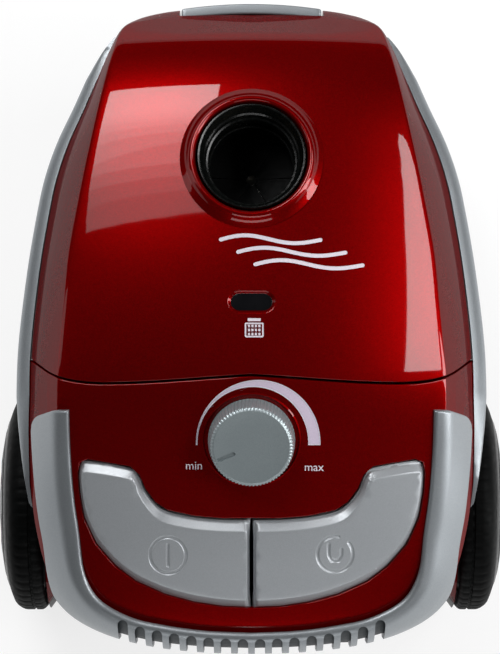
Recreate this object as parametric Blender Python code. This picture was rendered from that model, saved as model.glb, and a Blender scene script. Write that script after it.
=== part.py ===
"""Canister vacuum cleaner, built as separate pieces round one smooth body form.

Frame: +Z up, +Y towards the nose, +X to the right seen from the tail. The origin lies on
the floor under the middle of the body. Every dimension below is in millimetres; add_mesh
scales it to Blender's metres.
"""

import math

import bmesh
import bpy
from mathutils import Matrix, Vector

MM = 0.001

# ---- driving dimensions (mm) ------------------------------------------------------------
WALL = 2.6                 # moulded wall thickness
GAP = 0.4                  # clearance between pieces that touch
RING = 28                  # points along half of the body's outline
TO_CENTRE = Vector((0, 0.4, 0))   # moves the finished body over the origin
FLOOR_Z = 22.0             # underside of the body
TOP_SHARES = (0.84, 0.6, 0.3, 0, -0.3, -0.6, -0.84)   # points across the top

# Height of the body's top along its centreline: (y, z).
SPINE = [(-182, 144), (-164, 156.5), (-130, 171.5), (-100, 183), (-70, 194), (-48, 202),
         (-30, 206.7), (0, 210), (30, 210.7), (60, 209), (84, 206.6), (110, 202.5),
         (130, 196.5), (148, 186.5), (160, 173.5), (166, 162), (170, 148), (176, 126)]
CROWN_DROP = 16.0          # how far the top falls at 100 mm from the centreline
CROWN_POWER = 2.1

# Half outlines from the middle of the nose to the middle of the tail.
CREASE = [(0, 168.5), (38, 167.5), (58, 165), (68.4, 160.5), (73.5, 146), (78.2, 126.4),
          (86.2, 88.3), (91.3, 61.7), (95.9, 35.3), (98.4, 9), (100.4, -12), (102.1, -30),
          (102.4, -60), (101.3, -86), (99, -107), (94.5, -132), (84, -149), (66, -159.5),
          (46, -164.2), (24, -167), (0, -168)]
WIDE = [(0, 178, 130), (38, 176, 129.5), (55, 173, 128), (65.5, 168.6, 125), (75.5, 157.5, 120),
        (84, 142, 118), (93, 122, 118.6), (102, 102, 121.2), (108.5, 82, 124), (112.5, 62, 126.5),
        (116.5, 36, 130), (119.8, 8, 133.6), (121.6, -14, 136.5), (122, -34, 139),
        (121.5, -60, 142), (119.5, -88, 143), (116.5, -112, 138), (110.5, -134, 132),
        (99, -150.5, 129), (80, -161.8, 129), (55, -168.7, 131), (28, -171.7, 132.5),
        (0, -172.6, 133)]
SKIRT = [(0, 170), (38, 168), (60, 161), (76, 145), (93, 112), (103, 76), (110, 36),
         (113, 0), (113.4, -34), (113, -70), (112, -105), (108, -132), (97, -149),
         (78, -160), (52, -167), (26, -170), (0, -171)]
SKIRT_Z = 46.0
FLANK_BULGE = 1.6

# Where the shells part: the lid ends on this line, seen from above.
PARTING = [(-150, 2), (-119.4, -18.8), (-101.2, -30.4), (-71.1, -33.8), (0, -30),
           (71.1, -33.8), (101.2, -30.4), (119.4, -18.8), (150, 2)]
PARTING_GAP = 0.8
RIM_AT_ORIGIN, RIM_SLOPE = 142.0, -0.132   # the tub's rim is a plane: z = a + slope * y
REAR_SPLIT_Z = 80.0

# Rear wheels.
WHEEL_Y, WHEEL_R = -95.0, 61.0
WHEEL_INNER_X, WELL_X, WELL_R = 115.6, 114.4, 66.0
AXLE_R = 4.0
CONE = [(106.0, 49.0), (114.2, 60.0)]      # guard between wheel and body: (x, radius)

# Caster under the nose.
CASTER_Y, CASTER_R, CASTER_TRAIL = 122.0, 18.0, 8.0

# Hose port in the lid, and the dial on the control panel: point on the surface and tilt.
PORT_ORIGIN, PORT_TILT = Vector((0, 84, 206.6)), -7.4
PORT_R = 28.8
DIAL_ORIGIN, DIAL_TILT = Vector((0, -63.5, 196.6)), 20.0
DIAL_R = 22.8

# Lid hinge and latch.
HINGE = Vector((0, -19, 200.5))
LATCH_PIVOT = Vector((0, 167.0, 131.0))
LATCH_HALF = 38.2
LATCH_FRONT_Y, LATCH_BOW = 175.8, 2.9      # the lever's front is this far back at its ends

# Foot pedals: left outline seen from above; the right one is its mirror image.
PEDAL = [(-1.4, -105.6), (-15, -105.4), (-30.3, -104.1), (-44.8, -101), (-51.5, -96.5),
         (-57, -89.2), (-60, -82.1), (-64.5, -78.0), (-86.5, -74.2), (-90, -75.6),
         (-91.1, -80), (-90.7, -90.2), (-88.5, -103.7), (-82.3, -117.5), (-72.2, -129.2),
         (-61.6, -137.2), (-46.1, -144.1), (-30.7, -148.3), (-15.2, -150.6), (-1.4, -151.4)]
PEDAL_AXIS = Vector((0, -74, 168))
PEDAL_PROUD = 1.6

# Motor (axis along Y) and cord reel (axis along X).
MOTOR_X, MOTOR_Z = -45.0, 86.0
REEL_Y, REEL_Z, REEL_R = -93.0, 90.0, 54.0
REEL_LEFT, REEL_RIGHT = 26.0, 72.0
BRAKE_PIVOT = Vector((0, -105, 147))

# Exhaust comb in the bumper.
FIN_PITCH, FIN_COUNT, FIN_SLOT = 9.2, 16, 5.0
FIN_TOP_Z = 149.0

RED = ("gloss_red", (0.45, 0.0, 0.01), 0.12, 0.3)
SILVER = ("satin_silver", (0.42, 0.45, 0.47), 0.38, 0.6)
BLACK = ("black_plastic", (0.01, 0.01, 0.011), 0.35, 0.0)
DARK = ("dark_grey_plastic", (0.035, 0.036, 0.04), 0.5, 0.0)
RUBBER = ("rubber", (0.012, 0.012, 0.012), 0.75, 0.0)
STEEL = ("steel", (0.6, 0.6, 0.6), 0.3, 1.0)
PAPER = ("paper", (0.78, 0.75, 0.68), 0.95, 0.0)
BOARD = ("cardboard", (0.5, 0.38, 0.24), 0.9, 0.0)
FOAM = ("foam", (0.06, 0.065, 0.07), 1.0, 0.0)
COPPER = ("copper", (0.6, 0.26, 0.12), 0.35, 1.0)
CIRCUIT = ("circuit_board", (0.03, 0.16, 0.06), 0.5, 0.0)
LENS = ("smoked_lens", (0.02, 0.02, 0.02), 0.08, 0.0)
SIGNAL = ("signal_red", (0.7, 0.03, 0.02), 0.4, 0.0)


# ---- small tools ------------------------------------------------------------------------
def clear_scene():
    for obj in list(bpy.data.objects):
        bpy.data.objects.remove(obj)


def material_for(spec):
    name, colour, roughness, metallic = spec
    material = bpy.data.materials.get(name)
    if material is None:
        material = bpy.data.materials.new(name)
        material.use_nodes = True
        shader = material.node_tree.nodes["Principled BSDF"]
        shader.inputs["Base Color"].default_value = (*colour, 1)
        shader.inputs["Roughness"].default_value = roughness
        shader.inputs["Metallic"].default_value = metallic
    return material


ALONG_X = Matrix(((0, 0, 1, 0), (1, 0, 0, 0), (0, 1, 0, 0), (0, 0, 0, 1)))   # plan x, y to y, z


def add_mesh(name, points, faces, spec=None, place=None):
    """A closed mesh from points in millimetres, with its faces turned outwards."""
    mesh = bpy.data.meshes.new(name)
    if place is not None:
        points = [place @ Vector(p) for p in points]
    mesh.from_pydata([Vector(p) * MM for p in points], [], faces)
    work = bmesh.new()
    work.from_mesh(mesh)
    bmesh.ops.remove_doubles(work, verts=work.verts, dist=1e-7)
    bmesh.ops.recalc_face_normals(work, faces=work.faces)
    if work.calc_volume(signed=True) < 0:
        bmesh.ops.reverse_faces(work, faces=work.faces)
    bmesh.ops.triangulate(work, faces=[face for face in work.faces if len(face.verts) == 4])
    work.to_mesh(mesh)
    work.free()
    obj = bpy.data.objects.new(name, mesh)
    bpy.context.scene.collection.objects.link(obj)
    if spec is not None:
        mesh.materials.append(material_for(spec))
    return obj


def boolean(target, operation, *others):
    """Applies one exact Boolean per helper object, and removes the helpers."""
    for other in others:
        modifier = target.modifiers.new("shape", "BOOLEAN")
        modifier.operation = operation
        modifier.solver = "EXACT"
        modifier.object = other
        bpy.context.view_layer.update()
        graph = bpy.context.evaluated_depsgraph_get()
        mesh = bpy.data.meshes.new_from_object(target.evaluated_get(graph))
        target.modifiers.clear()
        target.data = mesh
        bpy.data.objects.remove(other)
    return target


def cut(target, *others):
    return boolean(target, "DIFFERENCE", *others)


def join(target, *others):
    return boolean(target, "UNION", *others)


def keep(target, region):
    return boolean(target, "INTERSECT", region)


def copy_of(obj, name):
    twin = obj.copy()
    twin.data = obj.data.copy()
    twin.name = name
    bpy.context.scene.collection.objects.link(twin)
    return twin


def finish(obj, name, spec, pivot=(0, 0, 0), smooth=30):
    """Names a piece, and puts its origin on pivot, which is a point of its joint's axis."""
    obj.data.transform(Matrix.Translation(Vector(pivot) * -MM))
    obj.location = (Vector(pivot) + TO_CENTRE) * MM
    obj.name = name
    obj.data.name = name
    obj.data.materials.clear()
    obj.data.materials.append(material_for(spec))
    obj.data.shade_smooth()
    obj.data.set_sharp_from_angle(angle=math.radians(smooth))
    return obj


def box(name, low, high, spec=None, place=None):
    (x0, y0, z0), (x1, y1, z1) = low, high
    points = [(x, y, z) for z in (z0, z1) for y in (y0, y1) for x in (x0, x1)]
    faces = [(0, 1, 3, 2), (4, 6, 7, 5), (0, 4, 5, 1), (2, 3, 7, 6), (0, 2, 6, 4), (1, 5, 7, 3)]
    return add_mesh(name, points, faces, spec, place)


def prism(name, outline, low, high, spec=None, place=None):
    """An outline in plan between two heights, each a number or a function of x and y."""
    def height(value, x, y):
        return value(x, y) if callable(value) else value

    n = len(outline)
    points = [(x, y, height(low, x, y)) for x, y in outline]
    points += [(x, y, height(high, x, y)) for x, y in outline]
    faces = [tuple(range(n)), tuple(range(n, 2 * n))]
    faces += [(i, (i + 1) % n, n + (i + 1) % n, n + i) for i in range(n)]
    return add_mesh(name, points, faces, spec, place)


def axis_frame(origin, axis):
    """Local +Z along axis, placed at origin."""
    return Matrix.Translation(origin) @ Vector(axis).to_track_quat("Z", "Y").to_matrix().to_4x4()


def turned(name, profile, origin, axis, steps=24, spec=None):
    """A closed profile of (radius, height) turned about axis. Flat ends start at radius 0."""
    points, rows, faces = [], [], []
    for radius, height in profile:
        if radius > 0:
            rows.append([len(points) + i for i in range(steps)])
            for i in range(steps):
                angle = 2 * math.pi * i / steps
                points.append((radius * math.cos(angle), radius * math.sin(angle), height))
    solid = any(radius <= 0 for radius, _ in profile)
    pairs = list(zip(rows, rows[1:])) if solid else list(zip(rows, rows[1:] + rows[:1]))
    for a, b in pairs:
        faces += [(a[i], a[(i + 1) % steps], b[(i + 1) % steps], b[i]) for i in range(steps)]
    if solid:
        faces += [tuple(rows[0]), tuple(rows[-1])]
    return add_mesh(name, points, faces, spec, axis_frame(origin, axis))


def rod(name, radius, origin, axis, length, steps=16, spec=None):
    return turned(name, [(0, 0), (radius, 0), (radius, length), (0, length)], origin, axis, steps, spec)


def tube(name, outer, inner, origin, axis, length, steps=24, spec=None):
    profile = [(inner, 0), (outer, 0), (outer, length), (inner, length)]
    return turned(name, profile, origin, axis, steps, spec)


def coil(name, origin, axis, radius, wire, turns, height, spec=STEEL, per_turn=9, sides=5):
    """A helical spring with capped ends."""
    count = int(turns * per_turn)
    points, faces = [], []
    for i in range(count + 1):
        angle = 2 * math.pi * i / per_turn
        out = Vector((math.cos(angle), math.sin(angle), 0))
        centre = out * radius + Vector((0, 0, height * i / count))
        for k in range(sides):
            turn = 2 * math.pi * k / sides
            points.append(centre + out * (wire * math.cos(turn)) + Vector((0, 0, wire * math.sin(turn))))
    for i in range(count):
        for k in range(sides):
            j = (k + 1) % sides
            a, b = i * sides, (i + 1) * sides
            faces.append((a + k, a + j, b + j, b + k))
    faces += [tuple(range(sides)), tuple(count * sides + k for k in range(sides))]
    return add_mesh(name, points, faces, spec, axis_frame(origin, axis))


# ---- the body form ----------------------------------------------------------------------
def through(points, count):
    """count points, evenly spaced, along a smooth curve through the given ones."""
    ends = [2 * Vector(points[0]) - Vector(points[1])] + [Vector(p) for p in points]
    ends.append(2 * Vector(points[-1]) - Vector(points[-2]))
    fine = []
    for a, b, c, d in zip(ends, ends[1:], ends[2:], ends[3:]):
        for i in range(12):
            t = i / 12
            fine.append(0.5 * (2 * b + (c - a) * t + (2 * a - 5 * b + 4 * c - d) * t * t
                               + (3 * b - a - 3 * c + d) * t ** 3))
    fine.append(ends[-2])
    travelled = [0.0]
    for p, q in zip(fine, fine[1:]):
        travelled.append(travelled[-1] + (q - p).length)
    spaced, at = [], 0
    for i in range(count):
        goal = travelled[-1] * i / (count - 1)
        while at < len(fine) - 2 and travelled[at + 1] < goal:
            at += 1
        step = travelled[at + 1] - travelled[at]
        spaced.append(fine[at].lerp(fine[at + 1], (goal - travelled[at]) / step if step else 0))
    return spaced


def spine_height(y):
    """Smooth interpolation of SPINE."""
    pairs = SPINE
    y = min(max(y, pairs[0][0]), pairs[-1][0] - 1e-6)
    i = max(k for k in range(len(pairs) - 1) if pairs[k][0] <= y)

    def slope(k):
        a, b = pairs[max(k - 1, 0)], pairs[min(k + 1, len(pairs) - 1)]
        return (b[1] - a[1]) / (b[0] - a[0])

    (y0, z0), (y1, z1) = pairs[i], pairs[i + 1]
    h = y1 - y0
    t = (y - y0) / h
    return ((2 * t ** 3 - 3 * t ** 2 + 1) * z0 + (t ** 3 - 2 * t ** 2 + t) * h * slope(i)
            + (3 * t ** 2 - 2 * t ** 3) * z1 + (t ** 3 - t ** 2) * h * slope(i + 1))


def top(x, y):
    """Height of the crowned top at a point of the plan."""
    return spine_height(y) - CROWN_DROP * (abs(x) / 100) ** CROWN_POWER


def rim(x, y):
    return RIM_AT_ORIGIN + RIM_SLOPE * y


class Outline:
    """The body's half outlines, sampled so that equal indices lie on one vertical strip."""

    def __init__(self, count):
        self.count = count
        self.crease = [Vector((p.x, p.y, top(p.x, p.y)))
                       for p in through([(x, y, 0) for x, y in CREASE], count)]
        self.wide = through(WIDE, count)
        self.skirt = [Vector((p.x, p.y, SKIRT_Z)) for p in through([(x, y, 0) for x, y in SKIRT], count)]
        for row in (self.crease, self.wide, self.skirt):
            row[0].x = row[-1].x = 0.0

    def inward(self, i):
        a, b = self.crease[max(i - 1, 0)], self.crease[min(i + 1, self.count - 1)]
        along = (b - a).normalized()
        return Vector((along.y, -along.x, 0)).normalized()

    def point(self, i, level):
        """A surface point: level below 0 is millimetres inside the crease, 0 to 1 runs down
        the flank, and 1 to 2 down the side to the skirt."""
        if level < 0:
            p = self.crease[i] + self.inward(i) * -level
            return Vector((max(p.x, 0.0), p.y, top(p.x, p.y)))
        if level <= 1:
            p = self.crease[i].lerp(self.wide[i], level)
            return p - self.inward(i) * FLANK_BULGE * math.sin(math.pi * level)
        return self.wide[i].lerp(self.skirt[i], level - 1)

    def normal(self, i, level):
        a, b = max(i - 1, 0), min(i + 1, self.count - 1)
        along = self.point(b, level) - self.point(a, level)
        if i in (0, self.count - 1):
            along = Vector((1 if i == 0 else -1, 0, 0))
        step = 2.0 if level < 0 else 0.15
        low = level if level in (0, 1) else level - step
        down = self.point(i, level + step) - self.point(i, low)
        return down.cross(along).normalized() * (-1 if down.cross(along).dot(-self.inward(i)) < 0 and level >= 0 else 1)

    def index_at(self, y):
        """The side station nearest to this y on the crease."""
        return min(range(self.count), key=lambda i: abs(self.crease[i].y - y))


def body_form(offset=0.0, name="form"):
    """The closed outer form of the whole body, grown or shrunk by offset."""
    outline = Outline(RING)
    rings = [list(outline.crease)]
    for level in (0.5, 1.0, 1.5, 2.0):
        rings.append([outline.point(i, level) for i in range(RING)])
    for inset, z in ((5.0, 27.0), (13.0, FLOOR_Z)):
        rings.append([Vector((p.x * (1 - inset / 113), p.y * (1 - inset / 170), z))
                      for p in outline.skirt])
    points, faces = [], []
    size = 2 * RING - 2
    for ring in rings:
        points += ring + [Vector((-p.x, p.y, p.z)) for p in reversed(ring[1:-1])]
    for r in range(len(rings) - 1):
        a, b = r * size, (r + 1) * size
        faces += [(a + k, a + (k + 1) % size, b + (k + 1) % size, b + k) for k in range(size)]
    faces.append(tuple((len(rings) - 1) * size + k for k in range(size)))
    rows = [[0]]
    for i in range(1, RING - 1):
        edge = outline.crease[i]
        row = [i]
        for share in TOP_SHARES:
            row.append(len(points))
            points.append(Vector((edge.x * share, edge.y, top(edge.x * share, edge.y))))
        rows.append(row + [size - i])
    rows.append([RING - 1])
    for a, b in zip(rows, rows[1:]):
        if len(a) == 1 or len(b) == 1:
            tip, row = (a[0], b) if len(a) == 1 else (b[0], a)
            faces += [(tip, m, n) for m, n in zip(row, row[1:])]
        else:
            faces += [(a[m], a[m + 1], b[m + 1], b[m]) for m in range(len(a) - 1)]
    form = add_mesh(name, points, faces)
    if offset:
        work = bmesh.new()
        work.from_mesh(form.data)
        moved = [v.co + v.normal * offset * MM * v.calc_shell_factor() for v in work.verts]
        for v, co in zip(work.verts, moved):
            v.co = co
            v.co.x = 0.0 if abs(co.x) < 2e-6 else co.x
        work.to_mesh(form.data)
        work.free()
    return form


def wells(grow=0.0):
    """Cutters for the two wheel wells."""
    return [rod("well", WELL_R + grow, (side * (WELL_X - grow), WHEEL_Y, WHEEL_R),
                (side, 0, 0), 40, steps=40) for side in (-1, 1)]


def parting_region(shift, far_y, low, high):
    """Everything on one side of the parting line, moved along Y by shift."""
    outline = [(x, y + shift) for x, y in PARTING]
    outline += [(150, far_y), (-150, far_y)]
    return prism("region", outline, low, high)


def front_region(low, high):
    return parting_region(PARTING_GAP, 220, low, high)


def rear_region(low, high):
    return parting_region(-PARTING_GAP, -220, low, high)


CARRY_POCKET = ((-42, 148, 66), (42, 190, 96))


def body_shell():
    """The whole hollow body before it is split into lid, rear cover and base."""
    outer = body_form()
    for side in (-1, 1):
        (x0, r0), (x1, r1) = CONE
        profile = [(0, x0 - 14), (r0 - 16, x0 - 14), (r0, x0), (r1, x1), (0, x1)]
        join(outer, turned("guard", profile, (0, WHEEL_Y, WHEEL_R), (side, 0, 0), steps=40))
    cavity = body_form(-WALL, "cavity")
    cut(cavity, *wells(WALL))
    (x0, y0, z0), (x1, y1, z1) = CARRY_POCKET
    cut(cavity, box("pocket", (x0 - WALL, y0 - WALL, z0 - WALL), (x1 + WALL, y1, z1 + WALL)))
    cut(cavity, rod("caster_boss", 33, (0, CASTER_Y, 10), (0, 0, 1), 35, steps=28))
    cut(cavity, rod("stem_boss", 9, (0, CASTER_Y, 10), (0, 0, 1), 50, steps=16))
    cut(outer, cavity, *wells())
    cut(outer, box("pocket", *CARRY_POCKET))
    return outer


def local(origin, tilt):
    return Matrix.Translation(origin) @ Matrix.Rotation(math.radians(tilt), 4, "X")


PORT = local(PORT_ORIGIN, PORT_TILT)
DIAL = local(DIAL_ORIGIN, DIAL_TILT)


def on(frame, x, y, z):
    return frame @ Vector((x, y, z))


def direction(frame):
    return frame.to_3x3() @ Vector((0, 0, 1))


# ---- shells -----------------------------------------------------------------------------
SCREWS = [(-84, -138), (84, -138), (-90, -20), (90, -20)]


def make_base(shell):
    base = copy_of(shell, "base")
    tub = front_region(REAR_SPLIT_Z - 20, lambda x, y: rim(x, y) - 0.5)
    low = box("low", (-170, -230, 0), (170, 230, REAR_SPLIT_Z - 0.3))
    keep(base, join(tub, low))
    for side in (-1, 1):
        join(base, rod("axle_boss", 9, (side * 92, WHEEL_Y, WHEEL_R), (side, 0, 0), 20.5, steps=16))
    for x, y in SCREWS:
        join(base, rod("boss", 6, (x, y, FLOOR_Z + 1), (0, 0, 1), 27, steps=12))
    join(base, box("keeper", (-14, LATCH_PIVOT.y + 2.2, 112.6), (14, LATCH_PIVOT.y + 8.4, 115)))
    for side in (-1, 1):
        cut(base, rod("axle_bore", AXLE_R + GAP, (side * 95, WHEEL_Y, WHEEL_R), (side, 0, 0), 40, steps=16))
    for x, y in SCREWS:
        cut(base, rod("bore", 2.4, (x, y, 0), (0, 0, 1), 44, steps=10))
        cut(base, rod("sink", 4.8, (x, y, 0), (0, 0, 1), FLOOR_Z + 4.5, steps=12))
    cut(base, rod("recess", 30, (0, CASTER_Y, 0), (0, 0, 1), 42, steps=28))
    cut(base, rod("stem_bore", 4.4, (0, CASTER_Y, 0), (0, 0, 1), 56, steps=14))
    cut(base, rod("cord_exit", 7.0, (50, -150, 60), (0, -1, 0), 40, steps=18))
    return finish(base, "base_housing", DARK)


def pedal_outline(side, grow=0.0):
    """The pedal's outline, mirrored for side +1 and offset outwards by grow."""
    n = len(PEDAL)
    shifted = []
    for i in range(n):
        a, b, c = (Vector(PEDAL[(i + k) % n]) for k in (-1, 0, 1))
        before, after = (b - a).normalized(), (c - b).normalized()
        out = Vector((before.y + after.y, -before.x - after.x))
        scale = grow / max(0.4, abs(out.length / 2))
        shifted.append(b + out.normalized() * scale)
    return [(-side * p.x, p.y) for p in shifted]


def panel_lug(x0, x1, top_z):
    """A bearing for the pedal pin, hung from the underside of the panel."""
    low_y, high_y = PEDAL_AXIS.y - 5, PEDAL_AXIS.y + 5
    bearing = box("bearing", (x0, low_y, PEDAL_AXIS.z - 5), (x1, high_y, PEDAL_AXIS.z + 2.8))
    return join(bearing, box("lug", (x0, low_y + 5, PEDAL_AXIS.z), (x1, high_y, top_z)))


def make_rear_cover(shell):
    cover = copy_of(shell, "cover")
    keep(cover, rear_region(REAR_SPLIT_Z + 0.3, 300))
    for side in (-1, 1):
        cut(cover, prism("opening", pedal_outline(side, 1.0), 140, 230))
    cut(cover, box("pedal_gap", (-3, -152.2, 140), (3, -104.8, 230)))
    for side in (-1, 1):
        for near, far, top_z in ((30.6, 34.4, 189.5), (73.6, 77.8, 182.2)):
            x0, x1 = sorted((side * near, side * far))
            join(cover, panel_lug(x0, x1, top_z))
            bore = rod("bore", 2.3, (x0 - 2, PEDAL_AXIS.y, PEDAL_AXIS.z), (1, 0, 0), x1 - x0 + 4, steps=12)
            cut(cover, bore)
    cut(cover, rod("dial_seat", DIAL_R + 2.4, on(DIAL, 0, 0, -1.3), direction(DIAL), 12, steps=40))
    cut(cover, rod("shaft_hole", 4.2, on(DIAL, 0, 0, -12), direction(DIAL), 24, steps=14))
    for x in (-21, 21):
        post = rod("post", 2.6, on(DIAL, x, -14, -15.4), direction(DIAL), 14, steps=10)
        join(cover, post)
    cut(cover, box("exhaust_window", (-60, -190, 115), (60, -150, 140)))
    return finish(cover, "rear_cover", RED)


def make_lid(shell):
    lid = copy_of(shell, "lid_blank")
    keep(lid, front_region(lambda x, y: rim(x, y) + 0.5, 300))
    collar = turned("collar", [(27, -5.4), (33, -5.4), (36.5, -1.2), (34.5, 1.2), (32.6, 4.0), (31.2, 4.6),
                               (27, 4.6)], on(PORT, 0, 0, 0), direction(PORT), steps=40)
    join(lid, collar)
    cut(lid, rod("port", PORT_R + GAP, on(PORT, 0, 0, -20), direction(PORT), 40, steps=40))
    cut(lid, prism("window", window_outline(0.4), 200, 220))
    shelf = box("shelf", (-27.5, 158, 150), (27.5, 180, 159))
    join(lid, keep(shelf, body_form(-1.0)))
    half = LATCH_HALF + 1.2
    notch = [(x, latch_front(x) - 6.8) for x in latch_steps(half)] + [(half, 190), (-half, 190)]
    cut(lid, prism("latch_notch", notch, 100, 152.6))
    axis_y = LATCH_PIVOT.y
    for x in (-24, 24):
        join(lid, box("lug", (x - 2, axis_y - 5.2, 124.5), (x + 2, axis_y + 2.8, 146.6)))
        cut(lid, rod("bore", 1.9, (x - 4, axis_y, LATCH_PIVOT.z), (1, 0, 0), 8, steps=10))
    bridge = box("bridge", (-27, axis_y - 5.7, 144), (27, axis_y, 158))
    join(lid, keep(bridge, body_form(-1.0)))
    for x in (-30, 30):
        knuckle = box("knuckle", (x - 4, HINGE.y - 4.4, HINGE.z - 4), (x + 4, HINGE.y + 4.4, HINGE.z + 6))
        join(lid, keep(knuckle, body_form(-1.0)))
        bore = rod("bore", 2.3, (x - 6, HINGE.y, HINGE.z), (1, 0, 0), 12, steps=12)
        cut(lid, bore)
    return finish(lid, "lid", RED, pivot=HINGE)


def window_outline(grow=0.0):
    """The bag indicator's slot: a flat-sided oval."""
    half, radius, y = 6.0, 5.2 + grow, 8.0
    points = []
    for i in range(16):
        angle = 2 * math.pi * i / 16 + math.pi / 16
        points.append((half * (1 if math.cos(angle) > 0 else -1) + radius * math.cos(angle),
                       y + radius * 0.92 * math.sin(angle)))
    return points


def make_bulkhead():
    plate = keep(box("slab", (-150, -38.5, 24), (150, -35.5, 186)), body_form(-WALL - 0.7))
    cut(plate, *wells(WALL + 0.7))
    cut(plate, box("filter_window", (-90, -50, 44), (0, -20, 130)))
    for side in (-1, 1):
        x0, x1 = sorted((side * 18, side * 25))
        arm = box("arm", (x0, -36, 174), (x1, -14.4, 184))
        stand = box("stand", (x0, HINGE.y - 3.2, 182), (x1, HINGE.y + 3.2, HINGE.z))
        eye = rod("eye", 3.5, (x0, HINGE.y, HINGE.z), (1, 0, 0), x1 - x0, steps=18)
        join(plate, arm, stand, eye)
        cut(plate, rod("bore", 2.1, (x0 - 1, HINGE.y, HINGE.z), (1, 0, 0), 9, steps=12))
    return finish(plate, "bulkhead", DARK)


# ---- pieces that follow the surface ------------------------------------------------------
def surface_strip(name, stations, levels, inner, outer, spec):
    """A closed strip over the surface. stations is a list of (index, side); levels, inner and
    outer are functions of the station's place from 0 to 1: the list of levels, and the two
    offsets from the body."""
    outline = Outline(STRIP_COUNT)
    points, rows = [], []
    for k, (i, side) in enumerate(stations):
        place = k / (len(stations) - 1)
        row = []
        for offset in (inner(place), outer(place)):
            for level in levels(place):
                p = outline.point(i, level) + outline.normal(i, level) * offset
                row.append(len(points))
                points.append((side * p.x, p.y, p.z))
        rows.append(row)
    width = len(rows[0]) // 2
    faces = []
    for a, b in zip(rows, rows[1:]):
        loop = list(range(width)) + list(range(2 * width - 1, width - 1, -1))
        for m, n in zip(loop, loop[1:] + loop[:1]):
            faces.append((a[m], a[n], b[n], b[m]))
    for row in (rows[0], rows[-1]):
        for m in range(width - 1):
            faces.append((row[m], row[m + 1], row[width + m + 1], row[width + m]))
    return add_mesh(name, points, faces, spec)


STRIP_COUNT = 72


def tail_stations(first, step=1):
    last = STRIP_COUNT - 1
    left = [(i, -1) for i in range(first, last, step)]
    return left + [(last, 1)] + [(i, 1) for i, _ in reversed(left)]


def ease(a, b, t):
    t = min(max(t, 0), 1)
    return a + (b - a) * t * t * (3 - 2 * t)


def tail_share(place):
    """0 along the sides and 1 round the tail."""
    return ease(0, 1, (0.36 - abs(place - 0.5)) / 0.16)


def make_bumper():
    """The U-shaped trim with its comb of exhaust fins."""
    outline = Outline(STRIP_COUNT)
    first = outline.index_at(-47)

    def levels(place):
        share = tail_share(place)
        return [ease(-6.6, -4.2, share), 0.0, ease(0.24, 0.5, share), ease(0.48, 1.0, share),
                ease(0.72, 1.25, share)]

    def inner(place):
        return ease(GAP, 2.2, tail_share(place))

    def outer(place):
        return ease(2.6, 5.0, tail_share(place))

    bumper = surface_strip("bumper_blank", tail_stations(first), levels, inner, outer, SILVER)
    radius = FIN_SLOT / 2
    for k in range(FIN_COUNT):
        x = (k - (FIN_COUNT - 1) / 2) * FIN_PITCH
        arch = [(radius * math.cos(a * math.pi / 6), radius * math.sin(a * math.pi / 6)) for a in range(7)]
        outline_xz = [(x + dx, -(FIN_TOP_Z - radius + dz)) for dx, dz in arch]
        outline_xz += [(x - radius, -96.0), (x + radius, -96.0)]
        turn = Matrix.Rotation(math.radians(-90), 4, "X")
        cut(bumper, prism("slot", outline_xz, 100 + 50, 190, place=turn @ Matrix.Scale(-1, 4, (0, 0, 1))))
    return finish(bumper, "rear_bumper", SILVER)


def make_exhaust_grille():
    """The curved screen behind the fins."""
    outline = Outline(STRIP_COUNT)
    first = min(range(STRIP_COUNT), key=lambda i: abs(outline.wide[i].x - 72) + (outline.wide[i].y > 0) * 999)
    grille = surface_strip("grille", tail_stations(first), lambda place: [0.12, 0.5, 1.0, 1.2],
                           lambda place: GAP, lambda place: 1.7, SILVER)
    for k in range(FIN_COUNT):
        x = (k - (FIN_COUNT - 1) / 2) * FIN_PITCH
        if abs(x) < 58:
            cut(grille, box("slit", (x - 1.4, -190, 117), (x + 1.4, -150, 132)))
    return finish(grille, "exhaust_grille", SILVER)


def make_side_rail(side):
    """The satin rail that runs from the nose to a point above the wheel."""
    outline = Outline(STRIP_COUNT)
    first, last = outline.index_at(160), outline.index_at(-90)
    indices = list(range(first, last + 1, 2))
    points, faces = [], []
    for k, i in enumerate(indices):
        place = k / (len(indices) - 1)
        taper = min(1.0, 0.45 + place / 0.2) * min(1.0, (1 - place) / 0.22) * 0.88 + 0.12
        wide, out = outline.wide[i], -outline.inward(i)
        low_z = wide.z - 4 - 9 * taper
        high_z = min(rim(0, wide.y) - 0.6, wide.z - 3 + 9.7 * taper)
        rows = []
        for z, proud in ((high_z, 0.0), (wide.z + 1.5, 1.0), (low_z, 0.25)):
            if z > wide.z:
                flank = (z - wide.z) / (outline.crease[i].z - wide.z)
                skin = outline.point(i, 1 - flank)
            else:
                skin = outline.point(i, 1 + (wide.z - z) / (wide.z - SKIRT_Z))
            inner = Vector((skin.x, skin.y, z)) + out * (GAP + 0.4)
            outer = inner + out * (1.0 + 4.6 * proud * taper)
            rows.append((inner, outer))
        ring = [rows[0][0], rows[0][1], rows[1][1], rows[2][1], rows[2][0], rows[1][0]]
        points += [(side * p.x, p.y, p.z) for p in ring]
    for k in range(len(indices) - 1):
        a, b = 6 * k, 6 * (k + 1)
        faces += [(a + m, a + (m + 1) % 6, b + (m + 1) % 6, b + m) for m in range(6)]
    end = 6 * (len(indices) - 1)
    for start in (0, end):
        faces += [(start, start + 1, start + 2, start + 5), (start + 5, start + 2, start + 3, start + 4)]
    rail = add_mesh("rail", points, faces)
    return finish(rail, "side_rail_left" if side < 0 else "side_rail_right", SILVER)


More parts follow.
